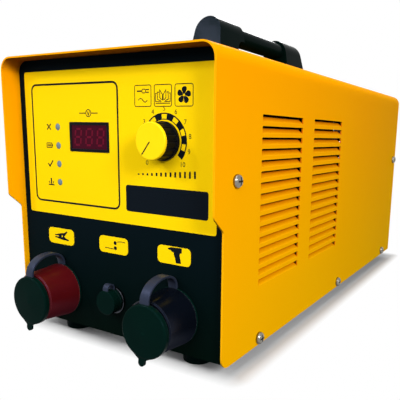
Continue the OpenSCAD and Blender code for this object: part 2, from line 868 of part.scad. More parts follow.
module display_module() {
  color("#300810") in_frame() translate([display_x, 0, display_z])
    along_y(0.8, board_y) square([filter_w, filter_h], center = true);
}
module display_board() {
  color("darkgreen") in_frame() translate([display_board_x, 0, label_z])
    along_y(board_y, board_y + board_t) square([display_board_w, display_board_h], center = true);
}
module indicator_lamps() {
  color("slategray") in_frame() for (z = lamp_zs) to_front(lamp_x, z) {
    translate([0, 0, -board_y]) cylinder(r = lamp_r + 0.4, h = 1);
    translate([0, 0, -board_y]) cylinder(r = lamp_r, h = board_y + label_t);
    translate([0, 0, label_t]) intersection() {
      translate([0, 0, -2 * lamp_r]) sphere(lamp_r * sqrt(5));
      cylinder(r = lamp_r, h = lamp_r);
    }
  }
}
// Posts for the display board, the clamp plate and the control board
module standoffs() {
  color("goldenrod") in_frame() {
    for (x = [-1, 1], z = [-1, 1])
      to_front(display_board_x + x * (display_board_w / 2 - post_in), label_z + z * (display_board_h / 2 - post_in))
        translate([0, 0, -board_y]) cylinder(r = 3, h = board_back, $fn = 6);
    for (x = [-post_x, post_x], y = post_ys) {
      translate([x, y, tray_top]) cylinder(r = post_r, h = clamp_z - tray_top, $fn = 6);
      translate([x, y, clamp_z + clamp_t]) cylinder(r = post_r, h = control_z - clamp_z - clamp_t, $fn = 6);
    }
  }
}

// Voltage control: potentiometer behind the panel, knob in front
module potentiometer() {
  color("silver") in_frame() to_front(dial_x, dial_z) difference() {
    union() {
      translate([0, 0, -sheet - pot_t]) cylinder(r = pot_r, h = pot_t);
      translate([0, 0, -sheet]) cylinder(r = bush_r, h = sheet + bush_l);
      for (x = [-5, 0, 5]) translate([x - 0.75, -pot_r - 6, -sheet - 6]) cube([1.5, 8, 1]);
    }
    translate([0, 0, pot_floor - sheet - pot_t])
      cylinder(r = shaft_r + bearing_gap, h = pot_t + sheet + bush_l + past);
  }
}
module potentiometer_nut() {
  color("silver") in_frame() to_front(dial_x, dial_z) hex_nut(pot_nut_w, bush_r + thread_gap, pot_nut_t);
}
module knob_shaft() {
  low = pot_floor + 0.1 - sheet - pot_t;
  color("silver") in_frame() to_front(dial_x, dial_z) translate([0, 0, low])
    cylinder(r = shaft_r, h = shaft_top - low);
}
module knob() {
  top = knob_h - knob_cap_t;
  skirt = knob_low + 2;
  color("#181a1c") in_frame() to_front(dial_x, dial_z) difference() {
    union() {
      translate([0, 0, knob_low]) cylinder(r = knob_foot_r, h = skirt - knob_low);
      translate([0, 0, skirt]) linear_extrude(top - skirt) difference() {
        circle(knob_r);
        for (i = [0 : flutes - 1]) rotate(i * 360 / flutes) translate([knob_r + 0.35 * flute_r, 0]) circle(flute_r);
      }
    }
    translate([0, 0, knob_low - past]) cylinder(r = knob_recess_r, h = bush_l + 0.5 - knob_low + past);
    cylinder(r = shaft_r + bearing_gap, h = shaft_top);
  }
}
module knob_cap() {
  color("yellow") in_frame() to_front(dial_x, dial_z) difference() {
    rotate_extrude() polygon(rounded([
      [0, knob_h - knob_cap_t, 0], [knob_r, knob_h - knob_cap_t, 0], [knob_r, knob_h, 0.8], [0, knob_h, 0]
    ]));
    rotate(-pointer_rest) translate([-0.5, 0.5, knob_h - 0.5]) cube([1, knob_r - 1.5, 1]);
  }
}

// Welding sockets, their straps and dust caps
module socket_shell() {
  rotate_extrude() polygon([
    [core_r + press_gap, -neck_l],
    [neck_r, -neck_l],
    [neck_r, 0],
    [groove_r, 0],
    [groove_r, ring_t + groove_gap],
    [barrel_foot_r, ring_t + groove_gap],
    [barrel_r, barrel_l - barrel_edge],
    [barrel_r - barrel_edge, barrel_l],
    [mouth_r, barrel_l],
    [mouth_r, barrel_l - mouth_d],
    [core_r + press_gap, barrel_l - mouth_d]
  ]);
}
module socket_contact() {
  face = barrel_l - mouth_d - core_in;
  difference() {
    union() {
      translate([0, 0, core_back]) cylinder(r = core_r, h = face - core_back);
      translate([0, 0, core_tail]) cylinder(r = tail_r, h = core_back - core_tail);
    }
    translate([0, 0, face - plug_bore_d]) cylinder(r = plug_bore_r, h = plug_bore_d + past);
  }
}
module socket_nut() {
  translate([0, 0, -sheet - socket_nut_t]) hex_nut(socket_nut_w, neck_r + thread_gap, socket_nut_t);
}
// Flat band that arches from low on the near side to low on the far side, drawn as [distance, height]
module band(near, far, z, r, t, near_z, far_z) {
  intersection() {
    translate([(near + far) / 2, z]) difference() {
      circle(r + t / 2);
      circle(r - t / 2);
    }
    union() {
      translate([near - t, near_z]) square([(far - near) / 2 + t, 2 * r + t]);
      translate([(near + far) / 2, far_z]) square([(far - near) / 2 + t, 2 * r + t]);
    }
  }
}
// Turns an outline drawn as [distance in front of the panel, height] into a flat piece of width w at x
module across(x, w) {
  translate([x, 0, 0]) mirror([0, 1, 0]) along_x(-w / 2, w / 2) children();
}
module socket_strap(x) {
  to_front(x, socket_z) tube(ring_r, groove_r + press_gap, ring_t);
  across(x, strap_w) {
    translate([0, socket_z + barrel_r]) square([ring_t, ring_top - socket_z - barrel_r]);
    band(strap_near, strap_far, strap_z, strap_arch_r, strap_t, ring_top - strap_lift / 2, cap_top + press_gap / 2);
  }
}
// Tab below a dust cap, with straight flanks that run into its round edge
module pull_tab() {
  flank = (cap_r - tab_inset) * [sin(tab_turn), -cos(tab_turn)];
  tip = cap_r + tab_l - tab_w / 2;
  polygon([
    [-flank.x, flank.y],
    [-tab_w / 2, -cap_r - tab_root],
    [-tab_w / 2, -tip],
    [tab_w / 2, -tip],
    [tab_w / 2, -cap_r - tab_root],
    flank
  ]);
  translate([0, -tip]) circle(tab_w / 2);
}
module socket_cap(x) {
  to_front(x, socket_z) {
    translate([0, 0, rim - spigot_l]) cylinder(r = mouth_r - cap_gap, h = spigot_l + cap_shoulder);
    translate([0, 0, rim]) cylinder(r = cap_shoulder_r, h = cap_shoulder + cap_t / 2);
  }
  to_front(x, cap_z) {
    rotate_extrude() polygon(rounded([
      [0, disc_low, 0],
      [cap_r, disc_low, 0],
      [cap_r, disc_low + cap_t, cap_edge_r],
      [0, cap_front, 0]
    ]));
    translate([0, 0, disc_low + cap_t - tab_inset - tab_t]) rotate(-tab_tilt) linear_extrude(tab_t) pull_tab();
  }
  across(x, strap_w) translate([disc_low + tab_inset, cap_z + cap_r - strap_root])
    square([cap_t - 2 * tab_inset, strap_root + strap_lift]);
}
module red_socket_shell() {
  color("#a01818") in_frame() to_front(-socket_x, socket_z) socket_shell();
}
module red_socket_contact() {
  color("goldenrod") in_frame() to_front(-socket_x, socket_z) socket_contact();
}
module red_socket_nut() {
  color("gray") in_frame() to_front(-socket_x, socket_z) socket_nut();
}
module red_strap() {
  color("#151c1c") in_frame() socket_strap(-socket_x);
}
module red_cap() {
  color("#101818") in_frame() socket_cap(-socket_x);
}
module black_socket_shell() {
  color("#1a1c22") in_frame() to_front(socket_x, socket_z) socket_shell();
}
module black_socket_contact() {
  color("goldenrod") in_frame() to_front(socket_x, socket_z) socket_contact();
}
module black_socket_nut() {
  color("gray") in_frame() to_front(socket_x, socket_z) socket_nut();
}
module black_strap() {
  color("#151c1c") in_frame() socket_strap(socket_x);
}
module black_cap() {
  color("#101818") in_frame() socket_cap(socket_x);
}

// Trigger connector with its own strap and cap
module trigger_shell() {
  color("silver") in_frame() to_front(0, trigger_z) rotate_extrude() polygon([
    [trigger_r - trigger_wall, -trigger_back],
    [trigger_r, -trigger_back],
    [trigger_r, 0],
    [trigger_flange_r, 0],
    [trigger_flange_r, trigger_flange_t - trigger_edge],
    [trigger_flange_r - trigger_edge, trigger_flange_t],
    [trigger_r, trigger_flange_t],
    [trigger_r, trigger_l],
    [trigger_r - trigger_wall, trigger_l]
  ]);
}
module trigger_insert() {
  color("#202020") in_frame() to_front(0, trigger_z) {
    translate([0, 0, -insert_back])
      cylinder(r = trigger_r - trigger_wall - press_gap, h = insert_back + trigger_l - insert_in);
    for (x = [-trigger_pin_x, trigger_pin_x])
      translate([x, 0, -pin_back]) cylinder(r = trigger_pin_r, h = pin_back + trigger_l - pin_in);
  }
}
module trigger_nut() {
  color("silver") in_frame() to_front(0, trigger_z) translate([0, 0, -sheet - trigger_nut_t])
    hex_nut(2 * (trigger_r + trigger_nut_wall), trigger_r + thread_gap, trigger_nut_t);
}
module trigger_strap() {
  color("#151c1c") in_frame() {
    to_front(0, trigger_z) translate([0, 0, trigger_ring[0]])
      tube(trigger_ring_r, trigger_r + trigger_ring_gap, trigger_strap_t);
    across(0, trigger_strap_w) {
      translate([trigger_ring[0], trigger_z + trigger_r + trigger_root])
        square([trigger_strap_t, trigger_ring_top - trigger_z - trigger_r - trigger_root]);
      band(trigger_near, trigger_far, trigger_strap_z, trigger_arch_r, trigger_strap_t,
        trigger_ring_top - 2 * press_gap, trigger_cap_top + press_gap / 2);
    }
  }
}
module trigger_cap() {
  color("#101818") in_frame() {
    to_front(0, trigger_z) rotate_extrude() polygon(rounded([
      [0, trigger_cap_end, 0],
      [trigger_r + cap_gap, trigger_cap_end, 0],
      [trigger_r + cap_gap, trigger_cap_low, 0],
      [trigger_cap_r, trigger_cap_low, 0],
      [trigger_cap_r, trigger_cap_front, 0.5],
      [0, trigger_cap_front, 0]
    ]));
    across(0, trigger_strap_w)
      translate([trigger_cap_front - trigger_strap_t - trigger_root, trigger_z + trigger_cap_r - trigger_root])
        square([trigger_strap_t, trigger_lift + trigger_root]);
  }
}

// Energy store: cans on the tray, held by a clamp plate and joined by bars
module can_places() {
  for (x = [-can_pitch_x / 2, can_pitch_x / 2], i = [0 : cans_in_row - 1])
    translate([x, bank_y + i * can_pitch_y, tray_top]) children();
}
module capacitors() {
  color("navy") in_frame() can_places() {
    rotate_extrude() polygon(rounded([
      [0, 0, 0],
      [can_r, 0, 2],
      [can_r, can_h, 1.5],
      [can_r - 3, can_h, 0],
      [can_r - 3.5, can_h - 2, 0],
      [0, can_h - 2, 0]
    ]));
    for (x = [-terminal_x, terminal_x])
      translate([x, 0, can_h - 3]) cylinder(r = terminal_r, h = terminal_h + 3);
  }
}
module capacitor_clamp() {
  color("silver") in_frame() translate([0, 0, clamp_z]) linear_extrude(clamp_t) difference() {
    translate([0, (clamp_ys[0] + clamp_ys[1]) / 2]) rounded_rect(2 * clamp_x, clamp_ys[1] - clamp_ys[0], 5);
    for (x = [-can_pitch_x / 2, can_pitch_x / 2], i = [0 : cans_in_row - 1])
      translate([x, bank_y + i * can_pitch_y]) circle(can_r + 0.2);
  }
}
// Two outer bars and the link between the inner terminals
module busbars() {
  outer_x = can_pitch_x / 2 + terminal_x;
  inner_x = can_pitch_x / 2 - terminal_x;
  bar_end = bank_y + bank_l + bar_over;
  bar_start = bank_y - bar_reach;
  color("peru") in_frame() translate([0, 0, bar_z]) linear_extrude(bar_t) {
    both_sides() translate([outer_x - bar_w / 2, bar_start]) square([bar_w, bar_end - bar_start]);
    translate([-inner_x - bar_w / 2, bank_y - bar_over])
      square([2 * inner_x + bar_w, bar_end - bank_y + bar_over]);
  }
}
// Bent bars from the sockets' tails up to the outer busbars
module output_bars() {
  outer_x = can_pitch_x / 2 + terminal_x;
  end_x = socket_x + tail_r;
  color("peru") in_frame() both_sides()
    along_x(min(outer_x - bar_w / 2, end_x - output_bar_w), end_x) polygon([
      [-core_tail, socket_z - bar_drop],
      [bar_t - core_tail, socket_z - bar_drop],
      [bar_t - core_tail, bar_z + bar_t],
      [bank_y - bar_reach + bar_lap, bar_z + bar_t],
      [bank_y - bar_reach + bar_lap, bar_z + 2 * bar_t],
      [-core_tail, bar_z + 2 * bar_t]
    ]);
}
module control_board() {
  color("darkgreen") in_frame() translate([0, (clamp_ys[0] + clamp_ys[1]) / 2, control_z])
    linear_extrude(board_t)
      rounded_rect(2 * clamp_x - 2 * board_edge, clamp_ys[1] - clamp_ys[0] - 2 * board_edge, board_corner_r);
}
// Relays, small capacitors, a supply block, a chip and two terminal strips, sized as shares of the board
module board_components() {
  u = (2 * clamp_x - 2 * board_edge) / 128;
  color("#30343a") in_frame() translate([0, clamp_ys[0], control_z + board_t]) {
    for (i = [0 : 2]) translate([-50 * u, (24 + i * 34) * u, 0]) cube([30, 24, 22] * u);
    for (i = [0 : 3]) translate([48 * u, (30 + i * 26) * u, 0]) cylinder(r = 9 * u, h = 28 * u);
    translate([-8 * u, 30 * u, 0]) cube([34, 40, 28] * u);
    translate([-4 * u, 90 * u, 0]) cube([22, 9, 4] * u);
    for (x = [-30, 10]) translate([x * u, 8 * u, 0]) cube([26, 9, 11] * u);
  }
}

// Charging transformer
module transformer_core() {
  color("slategray") in_frame() translate([0, 0, core_z]) along_y(core_y - core_d / 2, core_y + core_d / 2)
    difference() {
      translate([-core_w / 2, 0]) square([core_w, core_h]);
      for (x = [-1, 1]) translate([x * (leg_w + window_w) / 2, core_h / 2])
        square([window_w, core_h - 2 * yoke_h], center = true);
    }
}
module transformer_winding() {
  color("saddlebrown") in_frame() translate([0, core_y, core_z + yoke_h + winding_gap])
    linear_extrude(core_h - 2 * yoke_h - 2 * winding_gap) difference() {
      rounded_rect(leg_w + 2 * window_w - 2 * winding_gap, core_d + 2 * window_w, 8);
      square([leg_w + 2 * winding_gap, core_d + 2 * winding_gap], center = true);
    }
}
module transformer_bracket() {
  color("dimgray") in_frame() translate([0, core_y, tray_top]) linear_extrude(bracket_t)
    rounded_rect(core_w + 24, core_d + 6, 4);
}

// Thyristor and rectifier on their heat sink, in the fan's air
module heat_sink() {
  pitch = (sink_w - fin_t) / (fins - 1);
  color("lightgray") in_frame() along_y(sink_y, sink_y + sink_l) translate([-sink_w / 2, tray_top]) {
    translate([0, sink_h - sink_base]) square([sink_w, sink_base]);
    for (i = [0 : fins - 1]) translate([i * pitch, 0]) square([fin_t, sink_h - sink_base]);
  }
}
module thyristor_module() {
  side = thyristor_w / 6.5;
  color("#24282c") in_frame()
    translate([sink_edge - sink_w / 2, sink_y + (sink_l - thyristor_d) / 2, tray_top + sink_h]) {
      cube([thyristor_w, thyristor_d, thyristor_base]);
      translate([side, thyristor_in, thyristor_base])
        cube([thyristor_w - 2 * side, thyristor_d - 2 * thyristor_in, thyristor_h]);
      for (i = [-1 : 1])
        translate([thyristor_w / 2 + 1.5 * i * side, thyristor_d / 2, thyristor_base + thyristor_h])
          cylinder(r = stud_r, h = stud_h);
    }
}
module rectifier_bridge() {
  color("#101214") in_frame()
    translate([sink_w / 2 - sink_edge - bridge_side, sink_y + (sink_l - bridge_side) / 2, tray_top + sink_h]) {
      cube([bridge_side, bridge_side, bridge_h]);
      for (x = [tag_in, bridge_side - tag_in], y = [tag_in, bridge_side - tag_in])
        translate([x - tag_w / 2, y - tag_t / 2, bridge_h]) cube([tag_w, tag_t, tag_h]);
    }
}

// Folded fibre sheets on the tray, which close the view through the louvres to the live parts
module insulation_sheets() {
  color("#181818") in_frame() both_sides() translate([barrier_x - barrier_t, barrier_ys[0], tray_top]) {
    cube([barrier_t, barrier_ys[1] - barrier_ys[0], louvre_top_z + barrier_past - tray_top]);
    translate([-barrier_foot, 0, 0]) cube([barrier_foot + barrier_t, barrier_ys[1] - barrier_ys[0], barrier_t]);
  }
}

// Fan inside the rear panel, with its guard outside
module fan_corner_holes(r, z0, z1) {
  for (x = [-fan_hole, fan_hole], y = [-fan_hole, fan_hole])
    translate([x, y, z0]) cylinder(r = r, h = z1 - z0);
}
module fan_frame() {
  color("#16181a") in_frame() to_rear(0, fan_z) mirror([0, 0, 1]) translate([0, 0, sheet]) difference() {
    union() {
      difference() {
        linear_extrude(fan_d) rounded_rect(fan_w, fan_w, 5);
        translate([0, 0, -past]) cylinder(r = fan_bore_r, h = fan_d + 2 * past);
      }
      translate([0, 0, fan_d - fan_spider]) cylinder(r = fan_hub_r, h = fan_spider);
      for (i = [0 : 2]) rotate(i * 120 + 90) translate([fan_hub_r - 2, -2, fan_d - fan_spider])
        cube([fan_bore_r - fan_hub_r + 4, 4, fan_spider]);
    }
    translate([0, 0, fan_d - fan_spider - past]) cylinder(r = fan_pin_r + bearing_gap, h = fan_spider + 2 * past);
    fan_corner_holes(fan_screw_r + screw_gap, -past, fan_d + past);
  }
}
module fan_rotor() {
  low = fan_clear;
  high = fan_d - fan_spider - 0.5;
  color("#1c1e20") in_frame() to_rear(0, fan_z) mirror([0, 0, 1]) translate([0, 0, sheet]) {
    translate([0, 0, low]) cylinder(r = fan_hub_r, h = high - low);
    translate([0, 0, high]) cylinder(r = fan_pin_r, h = fan_d - high);
    intersection() {
      translate([0, 0, low]) tube(fan_bore_r - fan_tip_gap, fan_hub_r - 1, high - low);
      for (i = [0 : fan_blades - 1]) rotate(i * 360 / fan_blades)
        translate([fan_bore_r / 2, 0, (low + high) / 2]) rotate([48, 0, 0])
          cube([fan_bore_r, 30, fan_blade_t], center = true);
    }
  }
}
module fan_guard() {
  step = (fan_bore_r - 6) / guard_rings;
  reach = norm([fan_hole, fan_hole]);
  color("gainsboro") in_frame() to_rear(0, fan_z) {
    for (i = [1 : guard_rings])
      rotate_extrude() translate([6 + (i - 0.5) * step, 2.5 * wire_r]) circle(wire_r, $fn = 8);
    for (i = [0 : 3]) rotate(45 + 90 * i) {
      translate([6 + step / 2 - wire_r, 0, wire_r]) rotate([0, 90, 0])
        cylinder(r = wire_r, h = reach - 1.3 * fan_screw_r - 6 - step / 2 + wire_r, $fn = 8);
      translate([reach, 0, 0]) tube(fan_screw_r + 2 * wire_r + 0.2, fan_screw_r + 0.2, 2 * wire_r);
    }
  }
}
module fan_screws() {
  color("silver") in_frame() to_rear(0, fan_z)
    for (x = [-fan_hole, fan_hole], y = [-fan_hole, fan_hole]) translate([x, y, 0]) {
      translate([0, 0, guard_out]) pan_screw(2 * fan_screw_r, guard_out + sheet + fan_d + fan_nut_t + 1.5);
      translate([0, 0, -sheet - fan_d - fan_nut_t]) hex_nut(3.5 * fan_screw_r, fan_screw_r + thread_gap, fan_nut_t);
    }
}

// Power switch: rocker in a snap-in body
module power_switch_body() {
  well_w = rocker_w + 0.6;
  well_h = rocker_h + 2.4;
  color("#121416") in_frame() to_rear(switch_x, switch_z) difference() {
    union() {
      linear_extrude(switch_rim) rounded_rect(switch_w + 4, switch_h + 4, 2);
      translate([0, 0, -switch_d]) linear_extrude(switch_d) square([switch_w, switch_h], center = true);
    }
    translate([-well_w / 2, -well_h / 2, -9]) cube([well_w, well_h, 9 + switch_rim + past]);
    translate([-switch_w / 2 + 0.5, 0, -rocker_deep + switch_rim]) rotate([0, 90, 0])
      cylinder(r = rocker_pin_r + bearing_gap, h = switch_w - 1);
  }
}
module power_rocker() {
  half = rocker_h / 2;
  color("#a01818") in_frame() to_rear(switch_x, switch_z) translate([0, 0, -rocker_deep + switch_rim])
    rotate([rocker_tilt, 0, 0]) {
      rotate([90, 0, 90]) translate([0, 0, -rocker_w / 2]) linear_extrude(rocker_w) polygon(rounded([
        [-half, 5, 1], [0, 3.2, 0], [half, 5, 1], [half - 0.6, 0, 2], [4, -5, 2], [-4, -5, 2], [0.6 - half, 0, 2]
      ]));
      translate([-rocker_w / 2 - 1.5, 0, 0]) rotate([0, 90, 0]) cylinder(r = rocker_pin_r, h = rocker_w + 3);
    }
}

// Cable gland for the mains lead
module cable_gland() {
  dome_r = gland_neck_r + 1.2;
  color("#1a1c1e") in_frame() to_rear(gland_x, gland_z) difference() {
    union() {
      translate([0, 0, -sheet - 9]) cylinder(r = gland_neck_r, h = sheet + 9);
      cylinder(r = dome_r + 2, h = gland_hex_t, $fn = 6);
      rotate_extrude() polygon(rounded([
        [0, gland_hex_t, 0],
        [dome_r, gland_hex_t, 0],
        [dome_r, gland_out - 5, 3],
        [gland_bore_r + 2, gland_out, 1],
        [0, gland_out, 0]
      ]));
    }
    translate([0, 0, -sheet - 9 - past]) cylinder(r = gland_bore_r, h = sheet + 9 + gland_out + 2 * past);
  }
}
module gland_nut() {
  color("#1a1c1e") in_frame() to_rear(gland_x, gland_z)
    translate([0, 0, -sheet - gland_nut_t]) hex_nut(2 * gland_neck_r + 5, gland_neck_r + thread_gap, gland_nut_t);
}

cover();
base_tray();
front_panel();
rear_panel();
handle();
handle_screws();
cover_screws();
rubber_feet();
foot_screws();
control_label();
socket_labels();
display_bezel();
display_filter();
display_module();
display_board();
standoffs();
indicator_lamps();
potentiometer();
potentiometer_nut();
knob_shaft();
knob();
knob_cap();
red_socket_shell();
red_socket_contact();
red_socket_nut();
red_strap();
red_cap();
black_socket_shell();
black_socket_contact();
black_socket_nut();
black_strap();
black_cap();
trigger_shell();
trigger_insert();
trigger_nut();
trigger_strap();
trigger_cap();
capacitors();
capacitor_clamp();
busbars();
output_bars();
control_board();
board_components();
transformer_core();
transformer_winding();
transformer_bracket();
heat_sink();
thyristor_module();
rectifier_bridge();
insulation_sheets();
fan_frame();
fan_rotor();
fan_guard();
fan_screws();
power_switch_body();
power_rocker();
cable_gland();
gland_nut();
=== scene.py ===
import json
import math

import bmesh
import bpy
from mathutils import Matrix, Vector


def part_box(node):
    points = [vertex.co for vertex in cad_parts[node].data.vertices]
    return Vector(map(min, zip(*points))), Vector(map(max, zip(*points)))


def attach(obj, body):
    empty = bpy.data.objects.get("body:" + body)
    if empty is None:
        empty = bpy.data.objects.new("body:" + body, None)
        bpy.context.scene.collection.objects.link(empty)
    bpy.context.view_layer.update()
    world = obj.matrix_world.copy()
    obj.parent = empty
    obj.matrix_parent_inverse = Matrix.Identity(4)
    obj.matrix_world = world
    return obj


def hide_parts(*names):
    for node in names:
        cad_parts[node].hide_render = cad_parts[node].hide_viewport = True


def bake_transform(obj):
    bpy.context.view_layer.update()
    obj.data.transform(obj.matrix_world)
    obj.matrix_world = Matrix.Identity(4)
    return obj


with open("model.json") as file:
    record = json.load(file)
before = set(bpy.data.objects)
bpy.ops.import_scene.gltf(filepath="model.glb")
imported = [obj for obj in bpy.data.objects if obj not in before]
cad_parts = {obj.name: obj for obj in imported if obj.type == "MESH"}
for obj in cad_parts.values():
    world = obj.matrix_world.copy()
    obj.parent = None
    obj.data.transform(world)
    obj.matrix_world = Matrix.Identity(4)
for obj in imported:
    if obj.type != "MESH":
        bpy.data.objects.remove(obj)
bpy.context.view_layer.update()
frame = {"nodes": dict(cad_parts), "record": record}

# Camera: it stands to the right of the front panel, below the top of the case, and looks slightly down.
# Its place is measured from the panel's face and the cover's lower edge, its lens for a square picture.
MM = 0.001
panel_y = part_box("front_panel")[0].y
cover_low, cover_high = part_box("cover")
CAMERA_RIGHT = 265.3 * MM
CAMERA_FRONT = 271.05 * MM
CAMERA_UP = 158.5 * MM
CAMERA_YAW = math.radians(30.015)
CAMERA_PITCH = math.radians(-10.46)
CAMERA_ROLL = math.radians(1.242)
SENSOR_WIDTH, FOCAL_LENGTH = 36, 44.9
SHIFT_RIGHT, SHIFT_UP = -0.097, 0.065
lens = bpy.data.cameras.new("camera")
lens.sensor_width = SENSOR_WIDTH
lens.lens = FOCAL_LENGTH
lens.shift_x = SHIFT_RIGHT
lens.shift_y = SHIFT_UP
camera = bpy.data.objects.new("camera", lens)
camera.matrix_world = (
    Matrix.Translation((CAMERA_RIGHT, panel_y - CAMERA_FRONT, cover_low.z + CAMERA_UP))
    @ Matrix.Rotation(CAMERA_YAW, 4, "Z")
    @ Matrix.Rotation(math.pi / 2 + CAMERA_PITCH, 4, "X")
    @ Matrix.Rotation(CAMERA_ROLL, 4, "Z")
)
scene = bpy.context.scene
scene.collection.objects.link(camera)
scene.camera = camera
scene.view_settings.view_transform = "Standard"


# Studio: a pale floor that keeps the shadow and runs out to white, white surroundings, and soft lamps.
# The white is what the camera and mirror-like surfaces see; the light on the object is set apart from it.
class Wire:
    """An output socket of a node tree. Operators add Math nodes, and node() adds any other node."""

    def __init__(self, tree, socket=None):
        self.tree = tree
        self.socket = socket

    def node(self, kind, settings, sockets, out=None):
        """Adds a node, applies its settings, gives its sockets values or links, and returns one output."""
        made = self.tree.nodes.new(kind)
        for name, value in settings.items():
            setattr(made, name, value)
        for name, value in sockets.items():
            target = next(s for s in made.inputs if name in (s.identifier, s.name))
            if isinstance(value, Wire):
                self.tree.links.new(value.socket, target)
            else:
                target.default_value = value
        found = [s for s in made.outputs if out in (None, s.identifier, s.name)]
        return Wire(self.tree, found[0] if found else None)

    def math(self, operation, a, b):
        return self.node("ShaderNodeMath", {"operation": operation}, {"Value": a, "Value_001": b})

    def __add__(self, other):
        return self.math("ADD", self, other)

    __radd__ = __add__

    def __mul__(self, other):
        return self.math("MULTIPLY", self, other)

    __rmul__ = __mul__

    def __sub__(self, other):
        return self.math("SUBTRACT", self, other)

    def __rsub__(self, other):
        return self.math("SUBTRACT", other, self)

    def __truediv__(self, other):
        return self.math("DIVIDE", self, other)

    def __rtruediv__(self, other):
        return self.math("DIVIDE", other, self)

    def __pow__(self, other):
        return self.math("POWER", self, other)

    def __rpow__(self, other):
        return self.math("POWER", other, self)

    def clamped(self):
        return self.math("MINIMUM", self.math("MAXIMUM", self, 0.0), 1.0)


def bare_tree(owner):
    """The emptied node tree of a material or of the world."""
    owner.use_nodes = True
    owner.node_tree.nodes.clear()
    return Wire(owner.node_tree)


def seen_directly(tree):
    """1 for rays from the camera, and for those that a mirror or glass sends on."""
    kinds = ("Is Camera Ray", "Is Glossy Ray", "Is Transmission Ray")
    rays = [tree.node("ShaderNodeLightPath", {}, {}, out=kind) for kind in kinds]
    return (rays[0] + rays[1] + rays[2]).clamped()


def mixed(tree, factor, first, second):
    """One of two shaders, or a mix of them."""
    return tree.node("ShaderNodeMixShader", {}, {"Fac": factor, "Shader": first, "Shader_001": second})


WHITE = (1.0, 1.0, 1.0, 1.0)
DAYLIGHT = (0.96, 0.98, 1.0, 1.0)
AMBIENT = 0.3
world = bpy.data.worlds.new("studio")
sky = bare_tree(world)
glow = sky.node("ShaderNodeBackground", {}, {"Color": DAYLIGHT, "Strength": AMBIENT})
paper = sky.node("ShaderNodeBackground", {}, {"Color": WHITE, "Strength": 1.0})
sky.node("ShaderNodeOutputWorld", {}, {"Surface": mixed(sky, seen_directly(sky), glow, paper)})
scene.world = world


def vector_math(tree, operation, first, second=(0, 0, 0), out="Vector"):
    both = {"Vector": first, "Vector_001": second}
    return tree.node("ShaderNodeVectorMath", {"operation": operation}, both, out=out)


def between(tree, factor, first, second):
    """One of two colours, or a mix of them."""
    colors = {"Factor_Float": factor, "A_Color": first, "B_Color": second}
    return tree.node("ShaderNodeMix", {"data_type": "RGBA"}, colors, out="Result_Color")


FLOOR_HALF = 6.0
FLOOR_SEEN = (0.6, 0.6, 0.6, 1.0)
FLOOR_BOUNCING = (0.1, 0.1, 0.1, 1.0)
FADE_RIGHT, FADE_FRONT, FADE_CURVE = 11 * MM, 18 * MM, 1.05
SHADOW_RIGHT, SHADOW_BEHIND_PANEL = 4.5 * MM, 13 * MM
shadow_low = Vector((cover_low.x, panel_y + SHADOW_BEHIND_PANEL, -1))
shadow_high = Vector((cover_high.x + SHADOW_RIGHT, cover_high.y, 1))
floor_mesh = bpy.data.meshes.new("floor")
corners = [(x * FLOOR_HALF, y * FLOOR_HALF, 0) for x, y in ((-1, -1), (1, -1), (1, 1), (-1, 1))]
floor_mesh.from_pydata(corners, [], [(0, 1, 2, 3)])
floor = bpy.data.objects.new("floor", floor_mesh)
scene.collection.objects.link(floor)
floor_finish = bpy.data.materials.new("floor")
ground = bare_tree(floor_finish)
place = ground.node("ShaderNodeNewGeometry", {}, {}, out="Position")
spread = vector_math(ground, "SUBTRACT", place, (shadow_low + shadow_high) / 2)
spread = vector_math(ground, "ABSOLUTE", spread)
beyond = vector_math(ground, "SUBTRACT", spread, (shadow_high - shadow_low) / 2)
beyond = vector_math(ground, "MAXIMUM", beyond)
beyond = vector_math(ground, "DIVIDE", beyond, (FADE_RIGHT, FADE_FRONT, 1))
fade = vector_math(ground, "LENGTH", beyond, out="Value").clamped() ** FADE_CURVE
seen = seen_directly(ground)
tone = between(ground, seen, FLOOR_BOUNCING, FLOOR_SEEN)
pale = ground.node("ShaderNodeBsdfDiffuse", {}, {"Color": tone})
bright = ground.node("ShaderNodeEmission", {}, {"Color": WHITE, "Strength": 1.0})
laid = mixed(ground, fade * seen, pale, bright)
from_below = ground.node("ShaderNodeNewGeometry", {}, {}, out="Backfacing")
clear = ground.node("ShaderNodeBsdfTransparent", {}, {})
ground.node("ShaderNodeOutputMaterial", {}, {"Surface": mixed(ground, from_below, laid, clear)})
floor_mesh.materials.append(floor_finish)


def softbox(name, place, aim, size, watts):
    lamp = bpy.data.lights.new(name, "AREA")
    lamp.shape = "RECTANGLE"
    lamp.size, lamp.size_y = size
    lamp.energy = watts
    made = bpy.data.objects.new(name, lamp)
    made.location = place
    made.rotation_euler = (Vector(aim) - Vector(place)).to_track_quat("-Z", "Y").to_euler()
    scene.collection.objects.link(made)


softbox("front", place=(0.05, -1.4, 0.78), aim=(0, -0.2, 0.12), size=(0.9, 0.6), watts=9)
softbox("sheen", place=(-0.78, -1.05, 0.95), aim=(0, -0.15, 0.15), size=(0.13, 0.13), watts=5.5)
softbox("side", place=(0.9, -0.62, 0.55), aim=(0.1, -0.1, 0.1), size=(0.3, 0.3), watts=9.2)
softbox("top", place=(0.0, -0.45, 1.5), aim=(0, -0.1, 0.2), size=(1.0, 1.2), watts=7)
softbox("rear", place=(-0.85, 1.15, 0.75), aim=(-0.02, 0.12, 0.12), size=(0.8, 0.6), watts=12)


# Base tray: a shallow folded channel of zinc-plated steel that carries everything inside.
# The fine streaks of the plating run along the sheet. Brackets and hidden screws have the same finish.
def shade(red, green, blue):
    """A colour given by its 8-bit screen values, as the linear value that a socket takes."""
    parts = [c / 255 for c in (red, green, blue)]
    return tuple(c / 12.92 if c <= 0.04045 else ((c + 0.055) / 1.055) ** 2.4 for c in parts) + (1.0,)


